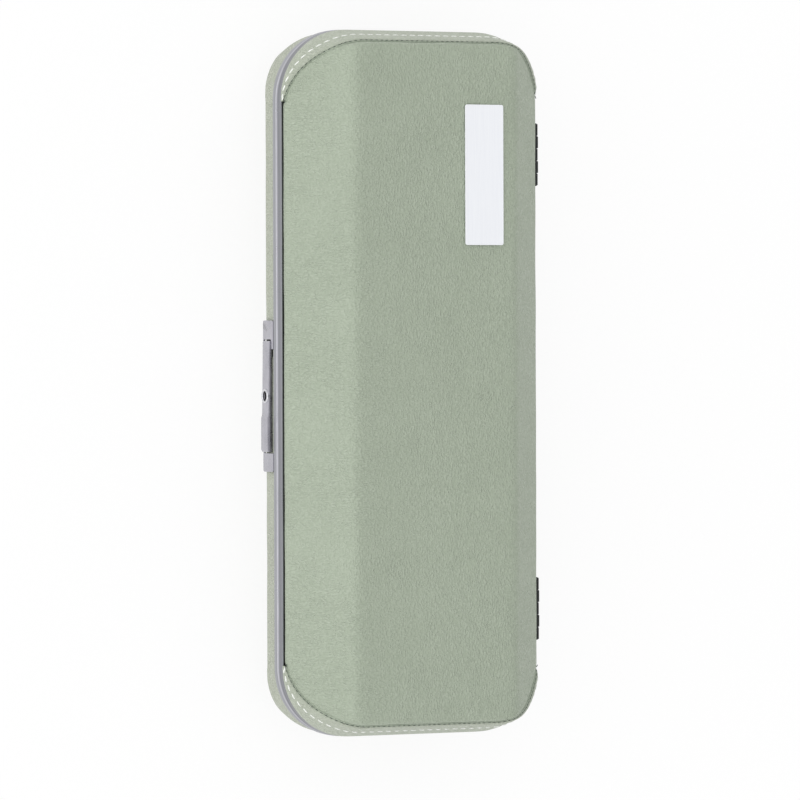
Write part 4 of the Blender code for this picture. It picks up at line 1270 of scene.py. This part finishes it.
def white_paper():
    """Matt white paper with a faint tooth. The camera and metal see it lit up, with a lighter shadow."""
    material, place = new_material("white_paper")
    tooth = add_node(material, "TexNoise", {"Vector": place, "Scale": 500, "Detail": 4})
    paper = {"Base Color": between(material, tooth, "#FAFAFA", "#FEFEFE"), "Roughness": 0.9}
    matt = add_node(material, "BsdfPrincipled", paper)
    glow = add_node(material, "Emission", {"Color": (1, 1, 1, 1), "Strength": 1})
    ray = add_node(material, "LightPath")
    seen = ray.outputs["Is Camera Ray"]
    for kind in ("Is Glossy Ray", "Is Transmission Ray"):
        seen = add_node(material, "Math", {0: seen, 1: ray.outputs[kind]}, operation="MAXIMUM")
    share = add_node(material, "Math", {0: seen, 1: paper_glow}, operation="MULTIPLY")
    mixed = add_node(material, "MixShader", {0: share, 1: matt, 2: glow})
    add_node(material, "OutputMaterial", {"Surface": mixed})
    return material


bpy.ops.mesh.primitive_plane_add(size=floor_size, location=(0, 0, floor_level))
bpy.ops.object.transform_apply(location=True, rotation=True, scale=True)
floor = bpy.context.object
floor.name = "paper_floor"
floor.data.materials.append(white_paper())

surround = bpy.data.worlds.new("bright_surround")
bpy.context.scene.world = surround
surround.use_nodes = True
surround.node_tree.nodes.clear()
towards = add_node(surround, "TexCoord").outputs["Generated"]
ahead = add_node(surround, "SeparateXYZ", {"Vector": towards}).outputs["Y"]
lean = {0: ahead, 1: -surround_lean, 2: surround_strength}
strength = add_node(surround, "Math", lean, operation="MULTIPLY_ADD")
ahead_of_shade = add_node(surround, "VectorMath", {0: towards, 1: shade_centre}, operation="DOT_PRODUCT")
glossy = add_node(surround, "LightPath").outputs["Is Glossy Ray"]
shade = between(surround, glossy, *ceiling_shade)
share = between(surround, ahead_of_shade.outputs["Value"], 0, 1, *shade_edges)
shaded = add_node(surround, "Math", {0: shade, 1: share}, operation="MULTIPLY")
kept = add_node(surround, "Math", {0: 1.0, 1: shaded}, operation="SUBTRACT")
level = add_node(surround, "Math", {0: strength, 1: kept}, operation="MULTIPLY")
light = add_node(surround, "Background", {"Color": (1, 1, 1, 1), "Strength": level})
add_node(surround, "OutputWorld", {"Surface": light})


def add_lamp(name, place, width, height, power):
    """A soft box that faces the case."""
    lamp = bpy.data.lights.new(name, "AREA")
    lamp.shape = "RECTANGLE"
    lamp.size = width
    lamp.size_y = height
    lamp.energy = power
    soft_box = put_in_scene(name, lamp)
    soft_box.location = place
    soft_box.rotation_euler = (-soft_box.location).to_track_quat("-Z", "Y").to_euler()


add_lamp("soft_box", (-0.7, -2.2, 1.3), 1.5, 1.5, soft_box_power)
add_lamp("low_strip", (-0.1, -1.0, 0.10), 1.2, 0.16, low_strip_power)

side = Vector((0, math.cos(camera_tilt), math.sin(camera_tilt)))
upward = Vector((-1, 0, 0))
back = Vector((0, -math.sin(camera_tilt), math.cos(camera_tilt)))
turned = Matrix((side, upward, back)).transposed()
turned = turned @ Matrix.Rotation(camera_pitch, 3, "X") @ Matrix.Rotation(camera_roll, 3, "Z")
side, upward, back = turned.col
camera = put_in_scene("camera", bpy.data.cameras.new("camera"))
camera.data.lens = camera_lens
camera.data.sensor_width = 36
camera.data.clip_end = 30
camera.rotation_euler = turned.to_euler()
aim = back * camera_distance - side * camera_aim[0] - upward * camera_aim[1]
camera.location = Vector((0, 0, camera_height)) + aim
bpy.context.scene.camera = camera
bpy.context.scene.view_settings.view_transform = "Standard"
